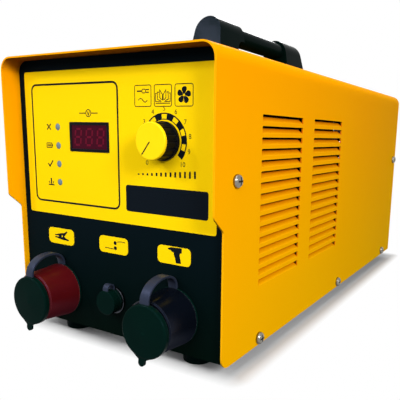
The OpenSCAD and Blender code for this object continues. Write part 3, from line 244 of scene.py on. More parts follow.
def dressed(name, make):
    """A material whose Principled sockets take what make(tree) returns."""
    made = bpy.data.materials.new(name)
    tree = bare_tree(made)
    skin = tree.node("ShaderNodeBsdfPrincipled", {}, make(tree))
    tree.node("ShaderNodeOutputMaterial", {}, {"Surface": skin})
    return made


def grain(tree, per_metre, detail=2.0, stretch=None):
    """Noise from 0 to 1 over the piece, stretched along its axes where that is asked for."""
    place = tree.node("ShaderNodeTexCoord", {}, {}, out="Object")
    if stretch:
        place = vector_math(tree, "MULTIPLY", place, stretch)
    noise = {"Vector": place, "Scale": per_metre, "Detail": detail}
    return tree.node("ShaderNodeTexNoise", {}, noise, out="Fac")


def relief(tree, height, strength, depth):
    bumps = {"Height": height, "Strength": strength, "Distance": depth}
    return tree.node("ShaderNodeBump", {}, bumps, out="Normal")


SHEET_EDGE = math.radians(32)


def wear(node_names, finish):
    """Gives CAD nodes a finish and smooth shading across their rounded faces."""
    for name in node_names:
        mesh = frame["nodes"][name].data
        mesh.materials.clear()
        mesh.materials.append(finish)
        mesh.shade_smooth()
        mesh.set_sharp_from_angle(angle=SHEET_EDGE)


def zinc(tree):
    streak = grain(tree, 90, 3.0, (1.0, 0.08, 1.0))
    return {
        "Base Color": between(tree, streak, shade(150, 153, 156), shade(186, 188, 190)),
        "Metallic": 1.0,
        "Roughness": 0.3 + 0.2 * streak,
        "Normal": relief(tree, grain(tree, 1500), 0.04, 0.1 * MM),
    }


plated = dressed("plated_steel", zinc)
wear(["base_tray", "handle_screws", "foot_screws", "capacitor_clamp", "transformer_bracket"], plated)


# Feet: four moulded rubber cups, each held to the tray by a screw and nut through its middle.
# The rubber is green-black and a little uneven, as are the dust caps and the rings of their straps.
COOL_SHEEN = (0.42, 0.52, 1.0, 1.0)


def edges(tree, radius, gain):
    """1 along sharp edges and 0 on flat and gently curved faces."""
    rounded = tree.node("ShaderNodeBevel", {"samples": 6}, {"Radius": radius}, out="Normal")
    true = tree.node("ShaderNodeNewGeometry", {}, {}, out="Normal")
    return ((1 - vector_math(tree, "DOT_PRODUCT", rounded, true, out="Value")) * gain).clamped()


def rubber(tree):
    stock = between(tree, grain(tree, 55, 3.0), shade(2, 20, 16), shade(4, 27, 22))
    return {
        # Painted highlight: a paler line along sharp edges of the feet, dust caps and strap rings.
        "Base Color": between(tree, edges(tree, 0.35 * MM, 3.0), stock, shade(44, 58, 60)),
        "Roughness": 0.18 + 0.08 * grain(tree, 240),
        "Specular IOR Level": 0.014,
        "Specular Tint": COOL_SHEEN,
        "Normal": relief(tree, grain(tree, 1600), 0.1, 0.15 * MM),
    }


black_rubber = dressed("black_rubber", rubber)
wear(["rubber_feet", "red_cap", "black_cap", "trigger_cap"], black_rubber)


# Inside: capacitors, bars, boards, transformer and heat sink, which show only through louvres and fan.
# Each has the plain finish of its trade. Sheets of pressed fibre line both sides of the case, their
# near-black colour a painted shade for the dark inside seen through the louvres.
def sleeve(tree):
    return {
        "Base Color": between(tree, grain(tree, 60), shade(20, 26, 84), shade(30, 38, 104)),
        "Roughness": 0.3,
    }


def copper_bar(tree):
    streak = grain(tree, 120, 2.0, (1.0, 0.1, 1.0))
    return {
        "Base Color": between(tree, streak, shade(176, 98, 62), shade(204, 128, 90)),
        "Metallic": 1.0,
        "Roughness": 0.3,
    }


def laminate(tree):
    return {
        "Base Color": between(tree, grain(tree, 200), shade(10, 70, 34), shade(18, 92, 46)),
        "Roughness": 0.42,
    }


def stacked_steel(tree):
    lines = grain(tree, 900, 1.0, (0.02, 1.0, 0.02))
    return {
        "Base Color": between(tree, lines, shade(70, 72, 76), shade(104, 106, 110)),
        "Metallic": 0.6,
        "Roughness": 0.5,
    }


def taped_coil(tree):
    turns = grain(tree, 260, 1.0, (0.05, 0.05, 1.0))
    return {
        "Base Color": between(tree, turns, shade(128, 84, 30), shade(168, 118, 52)),
        "Roughness": 0.55,
    }


def extruded(tree):
    streak = grain(tree, 300, 2.0, (1.0, 0.03, 1.0))
    return {
        "Base Color": between(tree, streak, shade(176, 178, 182), shade(208, 210, 214)),
        "Metallic": 1.0,
        "Roughness": 0.36,
    }


def pressed_fibre(tree):
    return {
        # Painted shade: the fibre is near-black so that the case's inside looks dark through the louvres.
        "Base Color": between(tree, grain(tree, 700, 3.0), shade(7, 5, 4), shade(14, 11, 8)),
        "Roughness": 0.9,
        "Specular IOR Level": 0.0,
    }


def turned_brass(tree):
    ring = grain(tree, 400, 2.0, (1.0, 0.02, 1.0))
    return {
        "Base Color": between(tree, ring, shade(188, 152, 76), shade(214, 180, 104)),
        "Metallic": 1.0,
        "Roughness": 0.22 + 0.14 * ring,
    }


def black_moulding(tree):
    moulding = between(tree, grain(tree, 60), shade(4, 6, 9), shade(9, 11, 15))
    return {
        # Painted highlight: a paler grey line along sharp edges of the black mouldings.
        "Base Color": between(tree, edges(tree, 0.4 * MM, 3.0), moulding, shade(52, 51, 52)),
        "Roughness": 0.28 + 0.14 * grain(tree, 300),
        "Specular IOR Level": 0.06,
        "Normal": relief(tree, grain(tree, 2200), 0.08, 0.1 * MM),
    }


brass = dressed("brass", turned_brass)
black_plastic = dressed("black_plastic", black_moulding)
wear(["insulation_sheets"], dressed("insulation_fibre", pressed_fibre))
wear(["capacitors"], dressed("can_sleeve", sleeve))
wear(["busbars", "output_bars"], dressed("copper", copper_bar))
wear(["display_board", "control_board"], dressed("circuit_board", laminate))
wear(["standoffs"], brass)
wear(["transformer_core"], dressed("core_steel", stacked_steel))
wear(["transformer_winding"], dressed("winding_tape", taped_coil))
wear(["heat_sink"], dressed("aluminium", extruded))
wear(["board_components", "thyristor_module", "rectifier_bridge"], black_plastic)


# Front and rear panels: flat steel sheets with flanges, set in from the cover's edges.
# They have a fine-textured black powder coat that turns a little greener towards its lower edge.
def along(tree, axis):
    """Where a point lies along one of the frame's axes, in metres."""
    place = tree.node("ShaderNodeTexCoord", {}, {}, out="Object")
    return tree.node("ShaderNodeSeparateXYZ", {}, {"Vector": place}, out=axis)


COAT_DRIFT, COAT_CLOUD = 90 * MM, 0.3


def powder_coat(tree):
    pits = grain(tree, 1700)
    height = (along(tree, "Z") - cover_low.z) / COAT_DRIFT
    drift = (height + COAT_CLOUD * (grain(tree, 20) - 0.5)).clamped()
    return {
        "Base Color": between(tree, drift, shade(1, 13, 8), shade(6, 16, 21)),
        "Roughness": 0.42 + 0.2 * pits,
        "Specular IOR Level": 0.01,
        "Normal": relief(tree, pits, 0.18, 0.15 * MM),
    }


wear(["front_panel", "rear_panel"], dressed("black_paint", powder_coat))


# Control label: a lemon-yellow polyester film on the upper panel, printed in blue-black ink.
# The print is a frame round the display, signs, the dial's scale, three boxed pictograms and a bare plate.
def film(tree):
    return {
        "Base Color": between(tree, grain(tree, 2600, 0.0), shade(252, 208, 2), shade(255, 216, 10)),
        "Roughness": 0.4 + 0.08 * grain(tree, 35),
        "Specular IOR Level": 0.02,
    }


def ink(tree):
    return {
        "Base Color": between(tree, grain(tree, 900), shade(6, 12, 18), shade(12, 20, 28)),
        "Roughness": 0.42 + 0.1 * grain(tree, 400),
        "Specular IOR Level": 0.03,
    }


wear(["control_label", "socket_labels"], dressed("label_film", film))
black_ink = dressed("black_ink", ink)
INK_T = 0.05 * MM
CORNER_STEPS = 6
SMALLEST_CORNER = 0.05
MITRE_LIMIT = 0.4
TO_FRONT = Matrix.Rotation(math.pi / 2, 4, "X")


def arc(x, z, radius, start, end, steps):
    """Points round (x, z), with angles in degrees clockwise from the top."""
    turns = [math.radians(start + (end - start) * i / steps) for i in range(steps + 1)]
    return [(x + radius * math.sin(a), z + radius * math.cos(a)) for a in turns]


def rounded_box(left, low, width, height, radius):
    right, high = left + width - radius, low + height - radius
    left, low = left + radius, low + radius
    return (
        arc(right, high, radius, 0, 90, CORNER_STEPS)
        + arc(right, low, radius, 90, 180, CORNER_STEPS)
        + arc(left, low, radius, 180, 270, CORNER_STEPS)
        + arc(left, high, radius, 270, 360, CORNER_STEPS)
    )


def outlined_box(left, low, width, height, radius, line):
    inner_r = max(radius - line, SMALLEST_CORNER)
    inner = rounded_box(left + line, low + line, width - 2 * line, height - 2 * line, inner_r)
    return [rounded_box(left, low, width, height, radius), inner]


def stroke(points, width):
    """The outline of a line of that width through points, with mitred corners."""
    path = [Vector(p) for p in points]
    left, right = [], []
    for i, p in enumerate(path):
        before = (p - path[i - 1]).normalized() if i else (path[1] - p).normalized()
        after = (path[i + 1] - p).normalized() if i + 1 < len(path) else before
        course = (before + after).normalized()
        across = Vector((-course.y, course.x))
        reach = width / 2 / max(MITRE_LIMIT, across.dot(Vector((-before.y, before.x))))
        left.append(tuple(p + across * reach))
        right.append(tuple(p - across * reach))
    return left + right[::-1]


def curve_piece(name, curve, place, finish, body, facing=TO_FRONT):
    """Turns a filled curve, drawn in its own plane, into a mesh that faces some way and rides on a body."""
    curve.fill_mode = "BOTH"
    drawn = bpy.data.objects.new(name + "_drawing", curve)
    drawn.matrix_world = Matrix.Translation(place) @ facing
    scene.collection.objects.link(drawn)
    bpy.context.view_layer.update()
    mesh = bpy.data.meshes.new_from_object(drawn.evaluated_get(bpy.context.evaluated_depsgraph_get()))
    mesh.transform(drawn.matrix_world)
    bpy.data.objects.remove(drawn)
    mesh.name = name
    mesh.materials.clear()
    mesh.materials.append(finish)
    made = bpy.data.objects.new(name, mesh)
    scene.collection.objects.link(made)
    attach(made, body)


def printed(
    name, loops, origin, finish, thickness=INK_T, body="chassis", facing=TO_FRONT
):
    """A flat print with the outlines in loops, in millimetres from origin; a loop in a loop is a hole."""
    curve = bpy.data.curves.new(name, "CURVE")
    curve.dimensions = "2D"
    curve.extrude = thickness / 2
    for loop in loops:
        line = curve.splines.new("POLY")
        line.points.add(len(loop) - 1)
        for point, (x, z) in zip(line.points, loop):
            point.co = (x * MM, z * MM, 0, 1)
        line.use_cyclic_u = True
    place = Vector(origin) + facing @ Vector((0, 0, thickness / 2))
    curve_piece(name, curve, place, finish, body, facing)


# Sizes on the label are in millimetres from its lower left corner.
label_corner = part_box("control_label")[0]
label_face = label_corner.y
FRAME_LEFT, FRAME_LOW, FRAME_W, FRAME_H = 7.6, 9.4, 92.6, 92.3
FRAME_R, FRAME_LINE = 5.6, 1.5
label_frame = outlined_box(FRAME_LEFT, FRAME_LOW, FRAME_W, FRAME_H, FRAME_R, FRAME_LINE)
printed("label_frame", label_frame, label_corner, black_ink)
PLATE_LEFT, PLATE_LOW, PLATE_W, PLATE_H, PLATE_R = 106.0, 9.6, 71.8, 19.2, 2.0
label_plate = rounded_box(PLATE_LEFT, PLATE_LOW, PLATE_W, PLATE_H, PLATE_R)
printed("label_plate", [label_plate], label_corner, black_ink)

# Pictograms in three boxes: a mains plug over a wave, an open book and a fan.
# They are printed in the same ink as the rest of the label.
ICON_LEFT, ICON_LOW, ICON_PITCH, ICON_W, ICON_H = 115.4, 83.4, 17.4, 15.1, 14.7
ICON_COUNT, ICON_R, ICON_LINE = 3, 1.6, 0.55
icon_lefts = [ICON_LEFT + i * ICON_PITCH for i in range(ICON_COUNT)]
icon_boxes = []
for left in icon_lefts:
    icon_boxes += outlined_box(left, ICON_LOW, ICON_W, ICON_H, ICON_R, ICON_LINE)
printed("icon_boxes", icon_boxes, label_corner, black_ink)


def moved(loop, x, z):
    return [(px + x, pz + z) for px, pz in loop]


def mirrored(loops):
    return loops + [[(-x, z) for x, z in loop] for loop in loops]


plug = outlined_box(-1.0, 1.7, 3.8, 3.0, 1.1, ICON_LINE)
plug += [stroke([(2.95, z), (5.4, z)], 0.8) for z in (2.3, 4.1)]
plug += [stroke([(-5.2, 3.2), (-1.15, 3.2)], 0.9)]
WAVE_LOW, WAVE_HALF, WAVE_H, WAVE_STEPS = -2.9, 4.0, 1.3, 12
wave_turns = [i / WAVE_STEPS for i in range(2 * WAVE_STEPS + 1)]
wave = [(WAVE_HALF * (t - 1), WAVE_LOW + WAVE_H * math.sin(math.pi * t)) for t in wave_turns]
plug += [stroke(wave, ICON_LINE)]
book = mirrored([
    stroke([(0.32, -3.2), (0.32, 0.6), (2.6, 3.6), (2.6, -1.4), (1.0, -2.9)], ICON_LINE),
    stroke([(3.3, 2.1), (4.5, 2.3), (4.5, -2.6), (1.8, -3.4)], ICON_LINE),
    stroke([(5.2, 1.4), (6.2, 1.5), (6.2, -3.9), (1.2, -4.15)], ICON_LINE),
])
book += [stroke([(-6.2, -5.1), (6.2, -5.1)], ICON_LINE)]
BLADE = [
    (0.45, 0.7), (1.35, 1.9), (2.25, 3.4), (2.2, 4.8), (1.2, 5.5),
    (-0.3, 5.5), (-1.5, 4.7), (-1.7, 3.2), (-1.05, 1.8), (-0.45, 0.8),
]
BLADE_COUNT = 5


def fan_blade(turn):
    """A rounded blade that leans over, from near the hub to the rim."""
    c, s = math.cos(turn), math.sin(turn)
    return [(x * c - z * s, x * s + z * c) for x, z in BLADE]


fan_sign = [fan_blade(2 * math.pi * i / BLADE_COUNT) for i in range(BLADE_COUNT)]
for name, loops, left in zip(("plug", "book", "fan"), (plug, book, fan_sign), icon_lefts):
    loops = [moved(loop, left + ICON_W / 2, ICON_LOW + ICON_H / 2) for loop in loops]
    printed(f"icon_{name}", loops, label_corner, black_ink)


# Signs beside the lamps and over the display: a cross, a charge cell, a tick, a stud on its plate, a meter.
# Under the dial a row of rising bars shows which way the level goes.
def middle(node):
    low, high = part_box(node)
    return (low + high) / 2


def circle(x, z, radius, steps=40):
    return arc(x, z, radius, 0, 360, steps)[:-1]


lamp_low, lamp_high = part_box("indicator_lamps")
LAMP_COUNT = 4
LAMP_FLANGE_R = 2.9 * MM
lamp_pitch = (lamp_high.z - lamp_low.z - 2 * LAMP_FLANGE_R) / (LAMP_COUNT - 1)
SIGN_BESIDE = 10.0 * MM
stud_sign = [stroke([(-3.3, -2.6), (3.3, -2.6)], 1.0), stroke([(0, -1.95), (0, 2.7)], 1.5)]
stud_sign += mirrored([stroke([(1.9, -1.5), (2.8, 0.2)], 0.7)])
tick_sign = [stroke([(-2.8, 0.1), (-0.8, -2.1), (3.0, 2.5)], 1.1)]
cell_sign = outlined_box(-3.6, -2.1, 6.4, 4.2, 0.6, 0.65)
cell_sign += [stroke([(x, -0.9), (x, 0.9)], 0.9) for x in (-1.9, -0.4, 1.1)]
cell_sign += [stroke([(2.95, 0), (3.7, 0)], 1.6)]
cross_sign = [
    stroke([(-2.2, -2.2), (2.2, 2.2)], 1.0),
    stroke([(-2.2, 2.2), (-0.45, 0.45)], 1.0),
    stroke([(0.45, -0.45), (2.2, -2.2)], 1.0),
]
lamp_signs = (("stud", stud_sign), ("tick", tick_sign), ("cell", cell_sign), ("cross", cross_sign))
sign_x = middle("indicator_lamps").x - SIGN_BESIDE
for row, (name, loops) in enumerate(lamp_signs):
    origin = (sign_x, label_face, lamp_low.z + LAMP_FLANGE_R + row * lamp_pitch)
    printed(f"sign_{name}", loops, origin, black_ink)
METER_R, METER_LINE, METER_GAP, METER_REACH = 2.9, 0.65, 0.2, 9.6
METER_OVER = 6.6 * MM
meter_place = (middle("display_bezel").x, label_face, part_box("display_bezel")[1].z + METER_OVER)
meter = [circle(0, 0, METER_R), circle(0, 0, METER_R - METER_LINE)]
meter += [stroke([(-1.2, 1.3), (0, -1.5), (1.2, 1.3)], METER_LINE)]
meter += mirrored([stroke([(METER_R + METER_GAP, 0), (METER_REACH, 0)], METER_LINE)])
printed("sign_meter", meter, meter_place, black_ink)
LEVEL_LEFT, LEVEL_LOW, LEVEL_PITCH, LEVEL_W, LEVEL_BARS = 118.2, 36.6, 4.05, 1.5, 13
LEVEL_FIRST, LEVEL_RISE = 1.0, 0.33
level_sign = []
for i in range(LEVEL_BARS):
    x = LEVEL_LEFT + i * LEVEL_PITCH
    level_sign.append(stroke([(x, LEVEL_LOW), (x, LEVEL_LOW + LEVEL_FIRST + LEVEL_RISE * i)], LEVEL_W))
printed("sign_level", level_sign, label_corner, black_ink)

# Dial scale: a black band round the knob with yellow windows, and plain numbers from 0 to 10.
# The numbers span 270 degrees; the knob's stops lie a little outside them.
dial_centre = Vector((middle("knob").x, label_face, middle("knob").z))
BAND_INNER, BAND_OUTER, BAND_END, BAND_STEPS = 14.3, 18.9, 129.0, 72
WINDOW_INNER, WINDOW_OUTER, WINDOW_STEPS = 14.9, 18.0, 6
WINDOW_PITCH, WINDOW_HALF, WINDOWS_EACH_SIDE = 34.4, 7.5, 3


def band(inner, outer, start, end, steps):
    return arc(0, 0, outer, start, end, steps) + arc(0, 0, inner, end, start, steps)


dial_band = [band(BAND_INNER, BAND_OUTER, -BAND_END, BAND_END, BAND_STEPS)]
for i in range(-WINDOWS_EACH_SIDE, WINDOWS_EACH_SIDE + 1):
    start, end = i * WINDOW_PITCH - WINDOW_HALF, i * WINDOW_PITCH + WINDOW_HALF
    dial_band.append(band(WINDOW_INNER, WINDOW_OUTER, start, end, WINDOW_STEPS))
printed("dial_band", dial_band, dial_centre, black_ink)
NUMBER_LAST, NUMBER_SWEEP = 10, 270
NUMBER_R = 21.6 * MM
NUMBER_H = 4.6 * MM
for number in range(NUMBER_LAST + 1):
    angle = math.radians(NUMBER_SWEEP * (number / NUMBER_LAST - 0.5))
    digits = bpy.data.curves.new(f"dial_number_{number}", "FONT")
    digits.body = str(number)
    digits.size = NUMBER_H
    digits.align_x = "CENTER"
    digits.align_y = "CENTER"
    digits.extrude = INK_T / 2
    place = dial_centre + Vector((NUMBER_R * math.sin(angle), -INK_T / 2, NUMBER_R * math.cos(angle)))
    curve_piece(f"dial_number_{number}", digits, place, black_ink, "chassis")

# Socket labels: three small yellow films over the outlets, each with a black pictogram.
# They show a ground clip, a contact and a welding gun.
red_x, black_x = middle("red_socket_shell").x, middle("black_socket_shell").x
DOT_STEPS = 20
clip_sign = [
    [
        (-7.2, 0.9), (-3.0, 1.8), (0.4, 2.6), (3.4, 2.9), (6.4, 4.6), (7.7, 4.0), (5.0, 1.5), (3.6, 0.1),
        (5.2, -1.2), (8.9, -2.1), (8.6, -3.1), (4.4, -2.9), (0.4, -2.7), (-3.2, -2.1), (-7.2, -1.5),
        (-7.1, -0.7), (-3.2, -0.5), (-2.4, -0.15), (-3.2, 0.2), (-7.1, 0.2),
    ],
    circle(1.2, 0.1, 0.8, DOT_STEPS),
]
contact_sign = [
    stroke([(-8.4, -2.6), (0.3, -2.9)], 0.6),
    circle(2.0, -2.0, 1.5, DOT_STEPS),
    circle(2.0, 1.9, 1.5, DOT_STEPS),
    stroke([(3.7, 2.9), (7.6, 3.5), (12.0, 3.3)], 0.6),
]
gun_sign = [
    [
        (-5.2, 4.8), (-2.6, 5.8), (7.0, 6.2), (7.0, 2.6), (5.4, 2.2), (5.2, 0.6), (6.4, -5.0), (1.9, -5.2),
        (1.2, -1.8), (0.2, 0.5), (0.2, 2.0), (-2.2, 3.0), (-2.8, 3.8), (-5.1, 4.1),
    ]
]
socket_signs = (("clip", clip_sign, red_x), ("contact", contact_sign, 0.0), ("gun", gun_sign, black_x))
for name, loops, x in socket_signs:
    origin = (x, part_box("socket_labels")[0].y, middle("socket_labels").z)
    printed(f"label_{name}", loops, origin, black_ink)


# Display: a black bezel round a tinted window with three seven-segment digits, unlit.
# The segments show faintly through the red window.
def window_tint(tree):
    return {
        "Base Color": between(tree, grain(tree, 40), shade(56, 6, 24), shade(66, 10, 30)),
        "Roughness": 0.2 + 0.08 * grain(tree, 80),
        "Specular IOR Level": 0.03,
    }


def segment_tint(tree):
    return {
        "Base Color": between(tree, grain(tree, 300), shade(92, 12, 34), shade(104, 16, 40)),
        "Roughness": 0.2 + 0.08 * grain(tree, 80),
        "Specular IOR Level": 0.03,
    }


wear(["display_bezel"], black_plastic)
wear(["display_filter", "display_module"], dressed("display_red", window_tint))
segment_red = dressed("display_segment", segment_tint)
DIGIT_W, DIGIT_H, DIGIT_PITCH, DIGIT_LEAN = 7.6, 13.4, 11.6, 0.1
SEGMENT_W, SEGMENT_GAP = 1.5, 0.15
SEGMENT_T = 0.02 * MM


def seven_segments(centre):
    """The seven bars of one digit, leaning to the right."""
    half_w, half_h = (DIGIT_W - SEGMENT_W) / 2, (DIGIT_H - SEGMENT_W) / 2
    end = SEGMENT_W / 2 + SEGMENT_GAP
    level = [[(end - half_w, z), (half_w - end, z)] for z in (-half_h, 0, half_h)]
    upright = [[(x, low + end), (x, low + half_h - end)] for x in (-half_w, half_w) for low in (-half_h, 0)]
    bars = [stroke(line, SEGMENT_W) for line in level + upright]
    return [[(centre + x + DIGIT_LEAN * z, z) for x, z in bar] for bar in bars]


window = middle("display_filter")
window_place = (window.x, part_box("display_filter")[0].y, window.z)
segments = [bar for i in (-1, 0, 1) for bar in seven_segments(i * DIGIT_PITCH)]
printed("display_digits", segments, window_place, segment_red, thickness=SEGMENT_T)


# Indicator lamps: four 5 mm lamps of grey diffusing resin, unlit, pushed through the panel from its board.
# Their domes stand just proud of the film.
def resin(tree):
    return {
        "Base Color": between(tree, grain(tree, 500), shade(96, 118, 126), shade(116, 136, 144)),
        "Roughness": 0.22 + 0.1 * grain(tree, 300),
        "Specular IOR Level": 0.2,
    }


wear(["indicator_lamps"], dressed("lamp_lens", resin))


# Knob: a fluted black moulding on the potentiometer's shaft, with a yellow cap pressed into its face.
# The pointer is a groove in the cap, filled with black paint.
def cap_yellow(tree):
    return {
        "Base Color": between(tree, grain(tree, 50), shade(250, 211, 8), shade(253, 218, 16)),
        "Roughness": 0.34 + 0.1 * grain(tree, 250),
        "Specular IOR Level": 0.06,
    }


wear(["knob"], black_plastic)
wear(["knob_cap"], dressed("knob_yellow", cap_yellow))
wear(["potentiometer", "potentiometer_nut", "knob_shaft"], plated)
POINTER_REST = -142
POINTER_INNER, POINTER_OUTER, POINTER_W = 0.6, 11.3, 0.98
GROOVE_DEEP, PAINT_SUNK = 0.5 * MM, 0.06 * MM
pointer = [arc(0, 0, r, POINTER_REST, POINTER_REST, 1)[0] for r in (POINTER_INNER, POINTER_OUTER)]
printed(
    "knob_pointer",
    [stroke(pointer, POINTER_W)],
    (dial_centre.x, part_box("knob_cap")[0].y + GROOVE_DEEP, dial_centre.z),
    black_ink,
    thickness=GROOVE_DEEP - PAINT_SUNK,
    body="dial_knob",
)


# Welding sockets: moulded barrels with a brass contact inside, one red and one black, screwed to the panel.
# The barrels are polished, but dull underneath. Each has a rubber dust cap on a strap of glossier rubber,
# whose ring sits round the barrel's foot. The strap's band is painted a lighter blue-grey, a painted sheen.
def facing_down(tree):
    """1 on faces that look straight down and 0 on upright ones and those that look up."""
    normal = tree.node("ShaderNodeNewGeometry", {}, {}, out="True Normal")
    return (0 - tree.node("ShaderNodeSeparateXYZ", {}, {"Vector": normal}, out="Z")).clamped()


BARREL_DULL = 1.2


def red_moulding(tree):
    moulding = between(tree, grain(tree, 45), shade(64, 7, 10), shade(80, 11, 15))
    return {
        # Painted highlight: a paler red line along the red barrel's sharp edges, such as its mouth.
        "Base Color": between(tree, edges(tree, 0.5 * MM, 3.0), moulding, shade(150, 84, 84)),
        "Roughness": (0.26 + 0.1 * grain(tree, 160) + BARREL_DULL * facing_down(tree)).clamped(),
        "Specular IOR Level": 0.15,
        "Specular Tint": COOL_SHEEN,
        "Normal": relief(tree, grain(tree, 900), 0.04, 0.1 * MM),
    }


def black_barrel(tree):
    moulding = between(tree, grain(tree, 45), shade(4, 7, 14), shade(8, 12, 20))
    return {
        # Painted highlight: a paler grey line along the black barrel's sharp edges, such as its mouth.
        "Base Color": between(tree, edges(tree, 0.5 * MM, 3.0), moulding, shade(70, 74, 80)),
        "Roughness": (0.2 + 0.08 * grain(tree, 160) + BARREL_DULL * facing_down(tree)).clamped(),
        "Specular IOR Level": 0.12,
        "Specular Tint": COOL_SHEEN,
        "Normal": relief(tree, grain(tree, 900), 0.04, 0.1 * MM),
    }


def strap_rubber(tree):
    # Painted sheen: the band is a lighter blue-grey than the caps' green-black rubber.
    stock = between(tree, grain(tree, 55, 3.0), shade(30, 36, 48), shade(40, 45, 60))
    return {
        # Painted highlight: a paler line along the band's edges.
        "Base Color": between(tree, edges(tree, 0.35 * MM, 3.0), stock, shade(62, 70, 84)),
        "Roughness": 0.36 + 0.1 * grain(tree, 240),
        "Specular IOR Level": 0.22,
        "Specular Tint": COOL_SHEEN,
        "Normal": relief(tree, grain(tree, 1600), 0.06, 0.15 * MM),
    }


red_plastic = dressed("red_plastic", red_moulding)
wear(["red_socket_shell"], red_plastic)
wear(["black_socket_shell"], dressed("black_barrel", black_barrel))
wear(["red_socket_nut", "black_socket_nut"], black_plastic)
wear(["red_socket_contact", "black_socket_contact"], brass)
glossy_rubber_painted_sheen = dressed("strap_rubber", strap_rubber)
SOFT_EDGE = math.radians(50)
RING_STEPS = 72
ARCH_STEPS, ARCH_FULLNESS, ARCH_CORNER = 36, 0.8, 0.3


def grown(name, rows, closed, finish):
    """A mesh skinned over rows of points, each a loop; the last row joins the first, or both are capped."""
    mesh = bpy.data.meshes.new(name)
    shape = bmesh.new()
    made_rows = [[shape.verts.new(p) for p in row] for row in rows]
    next_rows = made_rows[1:] + made_rows[:1] if closed else made_rows[1:]
    for first, second in zip(made_rows, next_rows):
        for i in range(len(first)):
            j = (i + 1) % len(first)
            shape.faces.new((first[i], first[j], second[j], second[i]))
    if not closed:
        shape.faces.new(made_rows[0][::-1])
        shape.faces.new(made_rows[-1])
    bmesh.ops.recalc_face_normals(shape, faces=shape.faces)
    shape.to_mesh(mesh)
    shape.free()
    mesh.materials.append(finish)
    mesh.shade_smooth()
    mesh.set_sharp_from_angle(angle=SOFT_EDGE)
    made = bpy.data.objects.new(name, mesh)
    scene.collection.objects.link(made)
    return made


def arched_band(name, x, near, far, rise, width, thickness, finish):
    """A flat band that springs up from near, arches over and comes down on far; both are (y, z) points."""
    middle_y = (near[0] + far[0]) / 2
    half = (near[0] - far[0]) / 2
    path = []
    for i in range(ARCH_STEPS + 1):
        turn = math.pi * i / ARCH_STEPS
        foot = near[1] + (far[1] - near[1]) * (1 - math.cos(turn)) / 2
        lift = rise * math.sin(turn) ** ARCH_FULLNESS
        path.append(Vector((middle_y + half * math.cos(turn), foot + lift)))
    section = rounded_box(-width / 2, -thickness / 2, width, thickness, ARCH_CORNER * thickness)
    rows = []
    for i, (y, z) in enumerate(path):
        course = (path[min(i + 1, ARCH_STEPS)] - path[max(i - 1, 0)]).normalized()
        rows.append([(x + a, y - course.y * b, z + course.x * b) for a, b in section])
    return grown(name, rows, False, finish)


def turned_ring(name, x, z, profile, finish):
    """A ring turned about a line along Y through (x, z), with its profile as (radius, y) points."""
    rows = []
    for i in range(RING_STEPS):
        a = 2 * math.pi * i / RING_STEPS
        rows.append([(x + r * math.cos(a), y, z + r * math.sin(a)) for r, y in profile])
    return grown(name, rows, True, finish)


def strapped(socket, x, z, profile, near, far, width, thickness):
    """A cap's strap: a ring round the socket's foot, and a band from near on the ring to far on the cap."""
    ring = turned_ring(f"{socket}_strap_ring", x, z, profile, black_rubber)
    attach(ring, "chassis")
    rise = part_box(f"{socket}_strap")[1].z - thickness / 2 - (near[1] + far[1]) / 2
    strap = arched_band(f"{socket}_strap_band", x, near, far, rise, width, thickness, glossy_rubber_painted_sheen)
    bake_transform(strap)
    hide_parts(f"{socket}_strap")


STRAP_W, STRAP_T = 7.5 * MM, 1.9 * MM
RING_T, RING_WALL, RING_BEAD, RING_GAP = 2.2 * MM, 2.9 * MM, 0.6 * MM, 0.05 * MM
STRAP_ROOT, STRAP_INSET, CAP_ROOT = 0.6 * MM, 0.2 * MM, 0.1 * MM
for color, x in (("red", red_x), ("black", black_x)):
    strap_low, strap_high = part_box(f"{color}_strap")
    socket_z = middle(f"{color}_socket_shell").z
    ring_r = strap_high.x - x
    back, front = panel_y - RING_GAP, panel_y - RING_T
    profile = [(ring_r - RING_WALL, back), (ring_r - RING_BEAD, back), (ring_r, back - RING_BEAD)]
    profile += [(ring_r, front + RING_BEAD), (ring_r - RING_BEAD, front), (ring_r - RING_WALL, front)]
    near = (panel_y - RING_T / 2, socket_z + ring_r - STRAP_ROOT)
    far = (strap_low.y + STRAP_T / 2 + STRAP_INSET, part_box(f"{color}_cap")[1].z - CAP_ROOT)
    strapped(color, x, socket_z, profile, near, far, STRAP_W, STRAP_T)


# Trigger connector: a plated shell with two pins in an insulating insert, held by a nut.
# Its small rubber cap hangs on a strap of its own.
def dark_plate(tree):
    cloud = grain(tree, 300)
    return {
        "Base Color": between(tree, cloud, shade(44, 46, 52), shade(66, 68, 74)),
        "Metallic": 1.0,
        "Roughness": 0.16 + 0.1 * cloud,
    }


wear(["trigger_shell", "trigger_nut"], dressed("trigger_plate", dark_plate))
wear(["trigger_insert"], black_plastic)
SMALL_STRAP_W, SMALL_STRAP_T = 5.0 * MM, 1.3 * MM
SMALL_RING_BACK, SMALL_RING_FRONT, SMALL_RING_WALL = 2.05 * MM, 3.4 * MM, 1.4 * MM
SMALL_STRAP_Y, SMALL_STRAP_ROOT, SMALL_STRAP_INSET = 2.7 * MM, 0.3 * MM, 0.1 * MM
strap_low, strap_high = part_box("trigger_strap")
trigger_z = middle("trigger_shell").z
ring_r = strap_high.x
inner_r = ring_r - SMALL_RING_WALL
back, front = panel_y - SMALL_RING_BACK, panel_y - SMALL_RING_FRONT
profile = [(inner_r, back), (ring_r, back), (ring_r, front), (inner_r, front)]
near = (panel_y - SMALL_STRAP_Y, trigger_z + ring_r - SMALL_STRAP_ROOT)
far = (strap_low.y + SMALL_STRAP_T / 2 + SMALL_STRAP_INSET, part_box("trigger_cap")[1].z - CAP_ROOT)
strapped("trigger", 0.0, trigger_z, profile, near, far, SMALL_STRAP_W, SMALL_STRAP_T)


